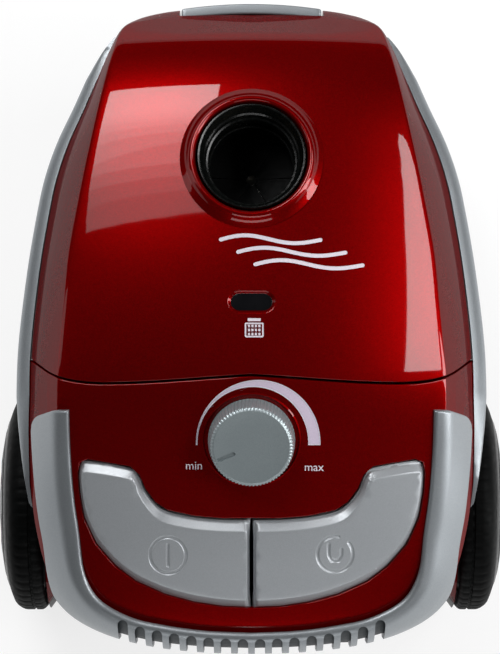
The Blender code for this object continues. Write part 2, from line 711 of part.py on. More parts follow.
# ---- lid fittings -----------------------------------------------------------------------
def make_lid_fittings():
    axis = direction(PORT)
    socket = [(22.5, -38), (25.5, -38), (25.5, -10), (28.4, -8), (28.4, 2.4), (27.6, 3.4),
              (25.4, -4), (22.5, -16)]
    finish(turned("socket", socket, on(PORT, 0, 0, 0), axis, steps=40), "hose_socket", BLACK)
    gasket = turned("gasket", [(26, -41.5), (33, -41.5), (33, -39.6), (31, -36.6), (26, -36.6)],
                    on(PORT, 0, 0, 0), axis, steps=28)
    finish(gasket, "socket_seal", RUBBER)

    lens = keep(prism("lens", window_outline(0.0), 205.2, 215), body_form(-0.6))
    finish(lens, "indicator_window", LENS)
    flag = box("flag", (-8, 4.4, 200.5), (-1, 11.6, 203))
    finish(flag, "indicator_flag", SIGNAL, pivot=(-4.5, 8, 200.5))
    guide = box("guide", (-13, -1, 196.5), (13, 17, 204.4))
    cut(guide, box("channel", (-11.5, 3.6, 199.7), (11.5, 12.4, 210)))
    finish(guide, "indicator_guide", BLACK)

    make_latch()
    pin = rod("pin", 1.7, (-38, HINGE.y, HINGE.z), (1, 0, 0), 76, steps=12)
    finish(pin, "lid_hinge_pin", STEEL)


def latch_front(x):
    """The bowed front of the lever, seen from above."""
    return LATCH_FRONT_Y - LATCH_BOW * (x / LATCH_HALF) ** 2


def latch_steps(half, count=12):
    return [-half + 2 * half * k / count for k in range(count + 1)]


def make_latch():
    """The wide lever in the nose: a bowed plate, two ears, and an arm with a hook."""
    def plate(depth, low, high):
        xs = latch_steps(LATCH_HALF)
        outline = [(x, latch_front(x)) for x in xs] + [(x, latch_front(x) - depth) for x in reversed(xs)]
        return prism("plate", outline, low, high)

    latch = join(plate(3.6, 120.8, 151.6), plate(5.6, 147.4, 151.6))
    axis_y = LATCH_PIVOT.y
    for x0, x1 in ((-21.2, -15), (15, 21.2)):
        ear = box("ear", (x0, axis_y - 3, LATCH_PIVOT.z - 3.2), (x1, axis_y + 6.4, LATCH_PIVOT.z + 3.2))
        join(latch, ear)
        cut(latch, rod("bore", 1.9, (x0 - 1, axis_y, LATCH_PIVOT.z), (1, 0, 0), 9, steps=10))
    join(latch, box("neck", (-11, axis_y - 5.8, 121.4), (11, axis_y + 6.4, 125.4)))
    join(latch, box("arm", (-10.6, axis_y - 6.2, 110.2), (10.6, axis_y - 3.2, 123)))
    join(latch, box("hook", (-10.2, axis_y - 4.8, 109.8), (10.2, axis_y - 1.2, 112.2)))
    finish(latch, "lid_latch", SILVER, pivot=LATCH_PIVOT)
    pin = rod("pin", 1.5, (-28, LATCH_PIVOT.y, LATCH_PIVOT.z), (1, 0, 0), 56, steps=10)
    finish(pin, "latch_pin", STEEL)
    spring = coil("spring", (-8, LATCH_PIVOT.y, LATCH_PIVOT.z), (1, 0, 0), 2.6, 0.45, 6, 14)
    finish(spring, "latch_spring", STEEL)


# ---- controls ---------------------------------------------------------------------------
def make_pedal(side, name):
    """A hollow foot pedal that follows the panel, with two hinge arms and a pusher."""
    pedal = body_form(PEDAL_PROUD)
    cut(pedal, body_form(-9.0))
    keep(pedal, prism("outline", pedal_outline(side), 130, 230))
    hollow = keep(body_form(-1.2), prism("inner", pedal_outline(side, -2.4), 130, 230))
    cut(pedal, hollow)
    for near, far, low_y, top_z in ((78.4, 83.6, -84, 176.5), (35.0, 40.2, -105, 171.5)):
        x0, x1 = sorted((side * near, side * far))
        join(pedal, box("arm", (x0, low_y, PEDAL_AXIS.z - 4), (x1, PEDAL_AXIS.y + 4, top_z)))
        cut(pedal, rod("bore", 2.3, (x0 - 1, PEDAL_AXIS.y, PEDAL_AXIS.z), (1, 0, 0), 8, steps=12))
    if side < 0:
        pusher = box("pusher", (-48, -115, 160.6), (-42, -109, 177))
    else:
        pusher = box("pusher", (62.5, -131.5, 152.9), (66.5, -126.5, 166))
    join(pedal, keep(pusher, body_form(-0.4)))
    return finish(pedal, name, SILVER, pivot=PEDAL_AXIS)


def make_controls():
    make_pedal(-1, "power_pedal")
    make_pedal(1, "rewind_pedal")
    pin = rod("pin", 1.8, (-86, PEDAL_AXIS.y, PEDAL_AXIS.z), (1, 0, 0), 172, steps=12)
    finish(pin, "pedal_pin", STEEL)
    for x, y, name in ((-70, -108, "power_pedal_spring"), (15, -125, "rewind_pedal_spring")):
        low, high = 145.0, top(x, y) - 3.4
        finish(coil("spring", (x, y, low), (0, 0, 1), 4.2, 0.55, 4, high - low), name, STEEL)

    knob = turned("knob", [(0, -0.7), (DIAL_R, -0.7), (DIAL_R, 6.4), (DIAL_R - 1.4, 11.4),
                           (DIAL_R - 2.2, 12.2), (0, 12.2)], on(DIAL, 0, 0, 0), direction(DIAL), steps=40)
    cut(knob, rod("shaft_socket", 3.1, on(DIAL, 0, 0, -2), direction(DIAL), 10, steps=12))
    finish(knob, "suction_knob", SILVER, pivot=DIAL_ORIGIN)
    pot = turned("pot", [(0, -13.4), (9, -13.4), (9, -6), (2.7, -6), (2.7, 7.2), (0, 7.2)],
                 on(DIAL, 0, 0, 0), direction(DIAL), steps=20)
    finish(pot, "potentiometer", STEEL)
    board = box("board", (-26, -20, -17.4), (26, 18, -15.8), place=DIAL)
    finish(board, "control_board", CIRCUIT)

    tray = box("tray", (-82, -130, 142), (21, -38.9, 144.2))
    cut(tray, box("relief", (-90, -60, 140), (-68, -30, 150)))
    finish(tray, "switch_tray", DARK)
    switch = box("switch", (-57, -121, 144.6), (-33, -103, 156))
    cut(switch, rod("bore", 3.4, (-45, -112, 149.4), (0, 0, 1), 10, steps=14))
    finish(switch, "power_switch", BLACK)
    plunger = rod("plunger", 3, (-45, -112, 153), (0, 0, 1), 7.2, steps=14)
    finish(plunger, "switch_plunger", SIGNAL, pivot=(-45, -112, 153))


# ---- motor, reel, filters ----------------------------------------------------------------
def make_motor():
    def along(y):
        return (MOTOR_X, y, MOTOR_Z)

    back = (0, -1, 0)
    fan = [(17, 0), (50, 0), (54, 4), (54, 30), (43, 32), (43, 30.5), (52.4, 28.5), (52.4, 4.6), (49.4, 1.6), (17, 1.6)]
    finish(turned("fan", fan, along(-43), back, steps=36), "fan_cover", STEEL)
    frame = [(36.5, 0), (42.6, 0), (42.6, 1.5), (39, 3), (39, 56), (12, 60), (12, 58.4), (36.5, 54.6)]
    finish(turned("frame", frame, along(-76), back, steps=32), "motor_frame", STEEL)
    finish(tube("stator", 36, 27.4, along(-84), back, 34, steps=28), "stator", COPPER)
    rotor = [(0, 0), (3.6, 0), (3.6, 33), (26, 35), (26, 67), (13, 69), (13, 80), (3.6, 81), (3.6, 90), (0, 90)]
    finish(turned("rotor", rotor, along(-51), back, steps=28), "armature", COPPER, pivot=along(-51))
    make_impeller(along)
    for side, name in ((-1, "carbon_brush_left"), (1, "carbon_brush_right")):
        x0, x1 = sorted((MOTOR_X + side * 13.6, MOTOR_X + side * 35.6))
        brush = box("brush", (x0, -129.4, MOTOR_Z - 3.5), (x1, -122, MOTOR_Z + 3.5))
        finish(brush, name, BLACK)
    seal = tube("seal", 53, 44, along(-38.9), back, 3.7, steps=32)
    finish(seal, "motor_seal", RUBBER)
    finish(tube("mount", 22, 12.6, along(-137), back, 8, steps=24), "motor_mount", RUBBER)


def make_impeller(along):
    """Two discs with curved vanes between them."""
    wheel = turned("wheel", [(3.9, 0), (47, 0), (47, 1.4), (3.9, 1.4)], along(-66), (0, 1, 0), steps=28)
    join(wheel, turned("hub", [(3.9, 1), (10, 1), (8, 14), (3.9, 14)], along(-66), (0, 1, 0), steps=28))
    for k in range(7):
        start = 2 * math.pi * k / 7
        ridge = []
        for offset in (0.0, 0.07):
            arc = [(r, start + offset + 0.9 * (r - 14) / 31) for r in (14, 22, 30, 38, 45)]
            ridge.append([(r * math.cos(a), r * math.sin(a)) for r, a in arc])
        outline = ridge[0] + ridge[1][::-1]
        vane = prism("vane", outline, 0.7, 11.0, place=axis_frame(along(-66), (0, 1, 0)))
        join(wheel, vane)
    finish(wheel, "impeller", STEEL, pivot=along(-66))


def make_reel():
    across = (1, 0, 0)
    centre = (0, REEL_Y, REEL_Z)
    width = REEL_RIGHT - REEL_LEFT
    drum = [(4.4, 0), (REEL_R, 0), (REEL_R, 2), (24, 4), (24, width - 4), (REEL_R, width - 2),
            (REEL_R, width), (4.4, width)]
    origin = (REEL_LEFT, REEL_Y, REEL_Z)
    finish(turned("drum", drum, origin, across, steps=36), "reel_drum", BLACK, pivot=origin)
    case = [(4.4, 0), (30, 0), (30, 2.6), (4.4, 3.2)]
    finish(turned("case", case, (REEL_RIGHT + GAP, REEL_Y, REEL_Z), across, steps=28), "mainspring_case", STEEL)
    frame = box("foot", (21, -120, 25.2), (80.6, -66, 28))
    for x0, x1, high in ((21, 23.6, 112), (76.6, 80.6, 112)):
        join(frame, box("plate", (x0, -112, 26), (x1, -74, high)))
    join(frame, box("ear", (77, -112, 92), (80.2, -100, 150)))
    join(frame, rod("spindle", 3.9, (22, REEL_Y, REEL_Z), across, 57, steps=16))
    join(frame, rod("lever_pin", 1.9, (61, BRAKE_PIVOT.y, BRAKE_PIVOT.z), across, 18, steps=12))
    finish(frame, "reel_frame", DARK)
    y, z = BRAKE_PIVOT.y, BRAKE_PIVOT.z
    side_view = [(y + 15, z - 2.6), (y + 13, z + 1.4), (y, z + 4), (y - 26, z + 5.4), (y - 26, z + 1.6),
                 (y - 6, z - 3.6), (y + 8, z - 2.8)]
    lever = prism("lever", side_view, 62, 71, place=ALONG_X)
    cut(lever, rod("bore", 2.3, (50, y, z), across, 30, steps=12))
    finish(lever, "brake_lever", BLACK, pivot=(66, y, z))
    finish(tube("gland", 6.6, 4.2, (50, -163, 60), (0, -1, 0), 11.5, steps=18), "cord_gland", RUBBER)


def make_filters_and_bag():
    grille = box("grille", (-94, -35.2, 40), (4, -31.8, 134))
    cut(grille, box("pocket", (-90, -40, 44), (0, -33.6, 130)))
    for k in range(6):
        z = 48 + k * 13.4
        cut(grille, box("slot", (-86, -40, z), (-4, -20, z + 8.6)))
    finish(grille, "filter_grille", BLACK)
    finish(box("foam", (-89.5, -38.4, 44.5), (-0.5, -34.0, 129.5)), "motor_filter", FOAM)

    outline = [(-57, -159.2)]
    for k in range(19):
        outline += [(-54 + k * 6, -153.0), (-51 + k * 6, -159.2)]
    outline[-1] = (57, -159.2)
    outline += [(57, -161.2), (-57, -161.2)]
    finish(prism("pleats", outline, 112, 143), "exhaust_filter", PAPER)

    sheet = box("sheet", (-50, -48, -45.6), (50, 48, -42.2), place=PORT)
    cut(sheet, rod("mouth", 24, on(PORT, 0, 0, -60), direction(PORT), 40, steps=28))
    finish(sheet, "bag_collar", BOARD)
    holder = box("holder", (-60, -52, -50), (60, 52, -46.2), place=PORT)
    for side in (-1, 1):
        x0, x1 = sorted((side * 50.6, side * 54))
        channel = box("channel", (x0, -50, -47), (x1, 50, -39.4), place=PORT)
        x0, x1 = sorted((side * 45, side * 53))
        lip = box("lip", (x0, -49, -41.4), (x1, 49, -38.8), place=PORT)
        x0, x1 = sorted((side * 55, side * 59))
        riser = box("riser", (x0, -26, -86), (x1, 26, -48), place=PORT)
        x0, x1 = sorted((side * 57, side * 99))
        foot = box("foot", (x0, -24, -88), (x1, 24, -84.6), place=PORT)
        join(holder, join(channel, lip), join(riser, foot))
    cut(holder, rod("mouth", 36, on(PORT, 0, 0, -60), direction(PORT), 40, steps=28))
    finish(holder, "bag_holder", DARK)
    make_dust_bag()


def make_dust_bag():
    """A plump bag: superellipse rings from its base to the mouth under the collar."""
    rings = [(63, 50, 56, 4), (66, 78, 66, 4), (74, 89, 71, 4), (88, 92, 72, 4), (104, 84, 68, 4),
             (113, 62, 58, 3), (124, 50, 50, 2.6), (140, 44, 46, 2.2), (150, 30, 32, 2)]
    steps, centre_y = 28, 66
    points, faces = [], []
    for z, half_x, half_y, power in rings:
        for k in range(steps):
            angle = 2 * math.pi * k / steps
            c, s = math.cos(angle), math.sin(angle)
            x = half_x * math.copysign(abs(c) ** (2 / power), c)
            y = half_y * math.copysign(abs(s) ** (2 / power), s)
            drift = (z - 100) * 0.14 if z > 100 else 0
            points.append((x, centre_y + drift + y, z))
    for r in range(len(rings) - 1):
        a, b = r * steps, (r + 1) * steps
        faces += [(a + k, a + (k + 1) % steps, b + (k + 1) % steps, b + k) for k in range(steps)]
    faces += [tuple(range(steps)), tuple((len(rings) - 1) * steps + k for k in range(steps))]
    finish(add_mesh("bag", points, faces), "dust_bag", PAPER)


# ---- running gear -----------------------------------------------------------------------
def make_wheels():
    tyre = [(50.5, 116.6), (58.5, WHEEL_INNER_X), (61, 118), (61, 128), (59.4, 131.2), (57, 133.6), (50.5, 136.2)]
    disc = [(0, 118), (14, 118), (50.1, 118), (50.1, 136.3), (43.5, 138.7), (30, 141),
            (15, 142.1), (5, 142.3), (0, 142.3)]
    for side, label in ((-1, "left"), (1, "right")):
        origin, axis = (0, WHEEL_Y, WHEEL_R), (side, 0, 0)
        finish(turned("tyre", tyre, origin, axis, steps=40), f"tyre_{label}", RUBBER, pivot=origin)
        wheel = turned("disc", disc, origin, axis, steps=32)
        cut(wheel, rod("bore", AXLE_R + GAP, (side * 110, WHEEL_Y, WHEEL_R), axis, 26.4, steps=16))
        finish(wheel, f"wheel_{label}", BLACK, pivot=origin)
        axle = rod("axle", AXLE_R, (side * 95.6, WHEEL_Y, WHEEL_R), axis, 40, steps=16)
        finish(axle, f"axle_{label}", STEEL)


def make_caster():
    y = CASTER_Y - CASTER_TRAIL
    fork = turned("plate", [(0, 38.2), (26, 38.2), (26, 41.4), (4, 41.4), (4, 54), (0, 54)],
                  (0, CASTER_Y, 0), (0, 0, 1), steps=28)
    for side in (-1, 1):
        x0, x1 = sorted((side * 9.6, side * 12.4))
        join(fork, box("leg", (x0, y - 8, 12), (x1, y + 10, 39)))
    cut(fork, rod("bore", 2.4, (-20, y, CASTER_R), (1, 0, 0), 40, steps=12))
    finish(fork, "caster_fork", DARK, pivot=(0, CASTER_Y, 40))
    tread = [(0, -13), (2.0, -13), (2.0, -8.6), (16, -8.6), (18, -6.6), (18, 6.6), (16, 8.6),
             (2.0, 8.6), (2.0, 13), (0, 13)]
    finish(turned("wheel", tread, (0, y, CASTER_R), (1, 0, 0), steps=32), "caster_wheel", BLACK,
           pivot=(0, y, CASTER_R))


def make_screws():
    for k, (x, y) in enumerate(SCREWS, 1):
        profile = [(0, 0), (4.2, 0), (4.2, 2), (2, 3.4), (2, 20), (0, 21)]
        screw = turned("screw", profile, (x, y, FLOOR_Z + 0.8), (0, 0, 1), steps=12)
        finish(screw, f"base_screw_{k}", STEEL)


def main():
    clear_scene()
    shell = body_shell()
    make_base(shell)
    make_rear_cover(shell)
    make_lid(shell)
    bpy.data.objects.remove(shell)
    make_bulkhead()
    make_bumper()
    make_exhaust_grille()
    for side in (-1, 1):
        make_side_rail(side)
    make_lid_fittings()
    make_controls()
    make_motor()
    make_reel()
    make_filters_and_bag()
    make_wheels()
    make_caster()
    make_screws()


main()
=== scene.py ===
"""Looks of the canister vacuum cleaner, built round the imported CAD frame.

Shapes are worked out in millimetres in the same form as the CAD solids, and turned into
metres of the row frame by BODY. The outer shells are drawn finely here, with rounded lips.
"""

import math

import bmesh
import bpy
import numpy as np
from mathutils import Matrix, Vector, noise
from mathutils.bvhtree import BVHTree
from mathutils.geometry import delaunay_2d_cdt


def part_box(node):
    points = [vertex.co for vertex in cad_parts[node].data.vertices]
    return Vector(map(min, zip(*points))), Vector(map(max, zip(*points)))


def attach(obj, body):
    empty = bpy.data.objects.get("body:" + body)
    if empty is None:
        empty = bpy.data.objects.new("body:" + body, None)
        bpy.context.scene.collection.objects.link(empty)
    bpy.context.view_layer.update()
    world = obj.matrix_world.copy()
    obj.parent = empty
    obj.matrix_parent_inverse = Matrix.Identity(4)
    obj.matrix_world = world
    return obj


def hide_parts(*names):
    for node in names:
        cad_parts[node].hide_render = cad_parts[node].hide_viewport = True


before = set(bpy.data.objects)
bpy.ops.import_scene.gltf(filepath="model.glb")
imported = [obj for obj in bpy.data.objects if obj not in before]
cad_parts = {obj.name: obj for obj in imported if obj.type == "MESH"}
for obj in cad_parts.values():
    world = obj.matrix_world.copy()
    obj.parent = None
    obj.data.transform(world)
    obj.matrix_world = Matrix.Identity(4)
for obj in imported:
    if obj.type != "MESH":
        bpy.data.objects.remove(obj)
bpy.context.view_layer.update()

scene = bpy.context.scene

MM = 0.001
BODY = Matrix.Translation((0, 0.0004, 0)) @ Matrix.Scale(MM, 4)

# ---- dimensions shared with the CAD (mm) --------------------------------------------------
SPINE = [(-182, 144), (-164, 156.5), (-130, 171.5), (-100, 183), (-70, 194), (-48, 202),
         (-30, 206.7), (0, 210), (30, 210.7), (60, 209), (84, 206.6), (110, 202.5),
         (130, 196.5), (148, 186.5), (160, 173.5), (166, 162), (170, 148), (176, 126)]
CREASE = [(0, 168.5), (38, 167.5), (58, 165), (68.4, 160.5), (73.5, 146), (78.2, 126.4),
          (86.2, 88.3), (91.3, 61.7), (95.9, 35.3), (98.4, 9), (100.4, -12), (102.1, -30),
          (102.4, -60), (101.3, -86), (99, -107), (94.5, -132), (84, -149), (66, -159.5),
          (46, -164.2), (24, -167), (0, -168)]
WIDE = [(0, 178, 130), (38, 176, 129.5), (55, 173, 128), (65.5, 168.6, 125), (75.5, 157.5, 120),
        (84, 142, 118), (93, 122, 118.6), (102, 102, 121.2), (108.5, 82, 124), (112.5, 62, 126.5),
        (116.5, 36, 130), (119.8, 8, 133.6), (121.6, -14, 136.5), (122, -34, 139),
        (121.5, -60, 142), (119.5, -88, 143), (116.5, -112, 138), (110.5, -134, 132),
        (99, -150.5, 129), (80, -161.8, 129), (55, -168.7, 131), (28, -171.7, 132.5),
        (0, -172.6, 133)]
SKIRT = [(0, 170), (38, 168), (60, 161), (76, 145), (93, 112), (103, 76), (110, 36),
         (113, 0), (113.4, -34), (113, -70), (112, -105), (108, -132), (97, -149),
         (78, -160), (52, -167), (26, -170), (0, -171)]
PARTING = [(0, -30), (71.1, -33.8), (101.2, -30.4), (119.4, -18.8), (150, 2)]
SLOTS = [9.2 * (k - 7.5) for k in range(16)]      # x of the bumper's exhaust slots
SKIRT_Z, FLOOR_Z = 46.0, 22.0
WALL = 2.6
WHEEL_Y, WHEEL_R = -95.0, 61.0
PORT_POINT, PORT_TILT = Vector((0, 84, 206.6)), -7.4
DIAL_POINT, DIAL_TILT, DIAL_R = Vector((0, -63.5, 196.6)), 20.0, 22.8
LATCH_Y, LATCH_HALF, LATCH_BOW = 167.0, 38.2, 2.9
LATCH_FRONT_Y, LATCH_TOP, LATCH_FOOT = 175.8, 151.6, 120.8
PEDAL = [(-1.4, -105.6), (-15, -105.4), (-30.3, -104.1), (-44.8, -101), (-51.5, -96.5),
         (-57, -89.2), (-60, -82.1), (-64.5, -78.0), (-86.5, -74.2), (-90, -75.6),
         (-91.1, -80), (-90.7, -90.2), (-88.5, -103.7), (-82.3, -117.5), (-72.2, -129.2),
         (-61.6, -137.2), (-46.1, -144.1), (-30.7, -148.3), (-15.2, -150.6), (-1.4, -151.4)]


def local(origin, tilt):
    return Matrix.Translation(origin) @ Matrix.Rotation(math.radians(tilt), 4, "X")


PORT, DIAL = local(PORT_POINT, PORT_TILT), local(DIAL_POINT, DIAL_TILT)


# ---- materials ---------------------------------------------------------------------------
def srgb(r, g, b):
    """An 8-bit display colour as linear light."""
    def channel(value):
        value /= 255
        return value / 12.92 if value <= 0.04045 else ((value + 0.055) / 1.055) ** 2.4
    return (channel(r), channel(g), channel(b), 1)


class Nodes:
    """A short way to write a material's node tree."""

    def __init__(self, name):
        self.material = bpy.data.materials.new(name)
        self.material.use_nodes = True
        self.tree = self.material.node_tree
        self.shader = self.tree.nodes["Principled BSDF"]
        self.place = self.tree.nodes.new("ShaderNodeTexCoord").outputs["Object"]

    def set(self, **values):
        for key, value in values.items():
            self.shader.inputs[key.replace("_", " ")].default_value = value

    def node(self, kind, vector=None, **values):
        node = self.tree.nodes.new("ShaderNode" + kind)
        for key, value in values.items():
            node.inputs[key].default_value = value
        if vector:
            self.tree.links.new(vector, node.inputs["Vector"])
        return node

    def noise(self, scale, detail=3.0, rough=0.55, stretch=(1, 1, 1)):
        stretched = self.node("Mapping", self.place, Scale=stretch).outputs["Vector"]
        return self.node("TexNoise", stretched, Scale=scale, Detail=detail, Roughness=rough).outputs["Fac"]

    def cells(self, scale):
        return self.node("TexVoronoi", self.place, Scale=scale).outputs["Color"]

    def vary(self, socket, factor, low, high, start=0.3, end=0.7):
        """Runs a socket from low to high while factor goes from start to end."""
        node = self.node("ValToRGB")
        for item, position, colour in zip(node.color_ramp.elements, (start, end), (low, high)):
            item.position = position
            item.color = colour
        self.tree.links.new(factor, node.inputs["Fac"])
        self.tree.links.new(node.outputs["Color"], self.shader.inputs[socket])

    def bump(self, height, strength, distance):
        node = self.node("Bump", Strength=strength, Distance=distance)
        self.tree.links.new(height, node.inputs["Height"])
        self.tree.links.new(node.outputs["Normal"], self.shader.inputs["Normal"])


def grey(value):
    return (value, value, value, 1)


def darker(colour, share):
    return tuple(c * share for c in colour[:3]) + (1,)


def red_paint():
    """Red flakes under a thin clear coat. The dark tint keeps the steep sides from turning white."""
    m = Nodes("red_metallic_paint")
    m.set(Metallic=0.7, Coat_Weight=0.16, Coat_Roughness=0.03, Coat_IOR=2.4)
    m.set(Specular_IOR_Level=0.0, Specular_Tint=(0.10, 0.0, 0.002, 1))
    m.vary("Base Color", m.cells(2600), (0.135, 0.0002, 0.0003, 1), (0.225, 0.0004, 0.0006, 1), 0.0, 1.0)
    m.vary("Roughness", m.noise(900, 2), grey(0.34), grey(0.42), 0.3, 0.75)
    m.bump(m.noise(60, 2), 0.02, 0.0004)
    return m.material


def silver_paint(name, low, high, roughness=0.4, metallic=0.65):
    m = Nodes(name)
    m.set(Metallic=metallic, IOR=1.5)
    m.vary("Base Color", m.noise(3800, 2, 0.6), low, high)
    m.vary("Roughness", m.noise(1400, 2), grey(roughness - 0.05), grey(roughness + 0.06))
    m.bump(m.noise(2400, 2), 0.10, 0.00006)
    return m.material


def moulded(name, colour, roughness, grain=1500, depth=0.00008, shade=0.7, specular=0.5):
    """Plain plastic or rubber with a moulded grain."""
    m = Nodes(name)
    m.set(IOR=1.48, Specular_IOR_Level=specular)
    m.vary("Base Color", m.noise(90, 4), darker(colour, shade), colour)
    m.vary("Roughness", m.noise(grain / 3, 2), grey(roughness - 0.06), grey(roughness + 0.08))
    m.bump(m.noise(grain, 3), 0.35, depth)
    return m.material


def metal(name, colour, roughness=0.3, stretch=(1, 1, 1), scale=700):
    m = Nodes(name)
    m.set(Metallic=1.0)
    grain = m.noise(scale, 4, 0.6, stretch)
    m.vary("Base Color", grain, darker(colour, 0.8), colour)
    m.vary("Roughness", grain, grey(roughness - 0.08), grey(roughness + 0.1))
    m.bump(grain, 0.12, 0.00005)
    return m.material


def fibrous(name, low, high, scale, depth, sheen=0.2):
    """Paper, print, fleece, foam or board."""
    m = Nodes(name)
    m.set(Roughness=0.95, Sheen_Weight=sheen)
    fibres = m.noise(scale, 6, 0.7)
    m.vary("Base Color", fibres, low, high, 0.32, 0.68)
    m.bump(fibres, 0.6, depth)
    return m.material


RED = red_paint()
SILVER = silver_paint("satin_silver", srgb(128, 133, 137), srgb(156, 161, 165))
# The exhaust screen is satin silver like the trim; this dark grey is painted shade for the space behind the
# bumper's slots.
SCREEN_PAINTED_SHADE = silver_paint("screen_grey_painted_shade", srgb(36, 42, 46), srgb(60, 66, 70), 0.5, 0.5)
PEDAL_SILVER = silver_paint("pedal_silver", srgb(152, 156, 160), srgb(178, 182, 186), 0.38, 0.4)
KNOB_SILVER = silver_paint("knob_silver", srgb(136, 146, 149), srgb(160, 170, 173), 0.34, 0.5)
SOCKET = moulded("socket_black", srgb(8, 10, 9), 0.26, 1300, 0.00001)
BLACK = moulded("black_plastic", srgb(22, 23, 24), 0.34, 1300, 0.00004)
DARK = moulded("dark_grey_plastic", srgb(44, 45, 48), 0.5)
RUBBER = moulded("black_rubber", srgb(24, 25, 26), 0.62, 900, 0.00008)
TYRE = moulded("tyre_rubber", srgb(6, 7, 7), 0.55, 900, 0.00004, specular=0.06)
STEEL = metal("turned_steel", (0.62, 0.62, 0.63, 1), 0.28)
ZINC = metal("zinc_plate", (0.55, 0.56, 0.58, 1), 0.34, (1, 0.15, 1), 300)
COPPER = metal("copper_wire", (0.70, 0.30, 0.13, 1), 0.32, (1, 12, 1), 260)
PAPER = fibrous("filter_paper", srgb(196, 188, 168), srgb(228, 222, 206), 420, 0.0003)
FOAM = fibrous("filter_foam", srgb(26, 28, 31), srgb(62, 66, 72), 900, 0.0006)
BOARD = fibrous("grey_board", srgb(140, 116, 84), srgb(176, 148, 110), 260, 0.0001, 0.05)
CIRCUIT = moulded("circuit_board", srgb(28, 84, 44), 0.42, 500, 0.00005, 0.8)
SIGNAL = moulded("signal_red", (0.55, 0.01, 0.008, 1), 0.35)
LENS = moulded("smoked_lens", (0.006, 0.006, 0.007, 1), 0.09, 400, 0.00001)
PRINT = fibrous("pale_print", srgb(205, 196, 206), srgb(222, 214, 222), 1800, 0.00001, 0.0)
SCALE_PRINT = fibrous("scale_print", srgb(186, 172, 192), srgb(204, 192, 208), 1800, 0.00001, 0.0)
FLEECE = fibrous("bag_fleece", srgb(206, 202, 190), srgb(236, 233, 224), 620, 0.0003, 0.3)


# ---- curves and the body form --------------------------------------------------------------
def dense(points, per=24):
    """A smooth curve through points, as (cumulative length 0 to 1, positions)."""
    p = [np.array((*q, 0.0)[:3], float) for q in points]
    p = [2 * p[0] - p[1]] + p + [2 * p[-1] - p[-2]]
    out = []
    for a, b, c, d in zip(p, p[1:], p[2:], p[3:]):
        for k in range(per):
            t = k / per
            out.append(0.5 * (2 * b + (c - a) * t + (2 * a - 5 * b + 4 * c - d) * t * t
                              + (3 * b - a - 3 * c + d) * t ** 3))
    out.append(p[-2])
    out = np.array(out)
    steps = np.concatenate([[0], np.cumsum(np.linalg.norm(np.diff(out, axis=0), axis=1))])
    return steps / steps[-1], out


CURVES = {"crease": dense(CREASE), "wide": dense(WIDE), "skirt": dense(SKIRT)}


def along(name, u):
    share, points = CURVES[name]
    return Vector([np.interp(u, share, points[:, k]) for k in range(3)])


def hermite(table, at):
    at = min(max(at, table[0][0]), table[-1][0] - 1e-6)
    i = max(k for k in range(len(table) - 1) if table[k][0] <= at)

    def slope(k):
        a, b = table[max(k - 1, 0)], table[min(k + 1, len(table) - 1)]
        return (b[1] - a[1]) / (b[0] - a[0])

    (x0, y0), (x1, y1) = table[i], table[i + 1]
    h = x1 - x0
    t = (at - x0) / h
    return ((2 * t ** 3 - 3 * t ** 2 + 1) * y0 + (t ** 3 - 2 * t ** 2 + t) * h * slope(i)
            + (3 * t ** 2 - 2 * t ** 3) * y1 + (t ** 3 - t ** 2) * h * slope(i + 1))


def top(x, y):
    return hermite(SPINE, y) - 16.0 * (abs(x) / 100) ** 2.1


def normal_of(height, e):
    """The normal(x, y) of a surface given by its height(x, y), from slopes over 2 e."""
    def normal(x, y):
        along_x = height(x - e, y) - height(x + e, y)
        along_y = height(x, y - e) - height(x, y + e)
        return Vector((along_x, along_y, 2 * e)).normalized()
    return normal


top_normal = normal_of(top, 0.6)


def rim(y):
    return 142.0 - 0.132 * y


def parting(x):
    return hermite(PARTING, abs(x))


def ease(a, b, t):
    t = min(max(t, 0), 1)
    return a + (b - a) * t * t * (3 - 2 * t)


def inward(u):
    a, b = along("crease", max(u - 0.004, 0)), along("crease", min(u + 0.004, 1))
    run = (b - a).normalized()
    return Vector((run.y, -run.x, 0)).normalized()


def round_size(u):
    return 4.5 + ease(8.5, 0, (u - 0.07) / 0.09)


def raw(u, level):
    """The unrounded form: level below 0 is mm inside the crease, 0 to 1 the flank, 1 to 2 the side."""
    c = along("crease", u)
    c.z = top(c.x, c.y)
    if level < 0:
        p = c + inward(u) * -level
        return Vector((max(p.x, 0.0), p.y, top(p.x, p.y)))
    w = along("wide", u)
    if level <= 1:
        return c.lerp(w, level) - inward(u) * 1.6 * math.sin(math.pi * level)
    k = along("skirt", u)
    k.z = SKIRT_Z
    return w.lerp(k, min(level, 2) - 1)


def skin(u, v):
    """A point of the rounded form: v -1 to 0 crosses the rounded crease, 0 to 1 runs down the
    flank, 1 to 2 down the side, and 2 to 3 round to the underside."""
    size = round_size(u)
    reach = size / (along("crease", u) - along("wide", u)).length * 0.9
    if v <= 0:
        t = v + 1
        a, b, c = raw(u, -size), raw(u, 0), raw(u, reach * 0.35)
        return a * (1 - t) ** 2 + b * 2 * t * (1 - t) + c * t * t
    if v <= 1:
        return raw(u, reach * 0.35 + (1 - reach * 0.35) * v)
    if v <= 2:
        return raw(u, v)
    k = raw(u, 2)
    angle = (v - 2) * math.pi / 2
    inset = 13 * (1 - math.cos(angle))
    z = SKIRT_Z - (SKIRT_Z - FLOOR_Z) * math.sin(angle)
    return Vector((k.x * (1 - inset / 113), k.y * (1 - inset / 170), z))


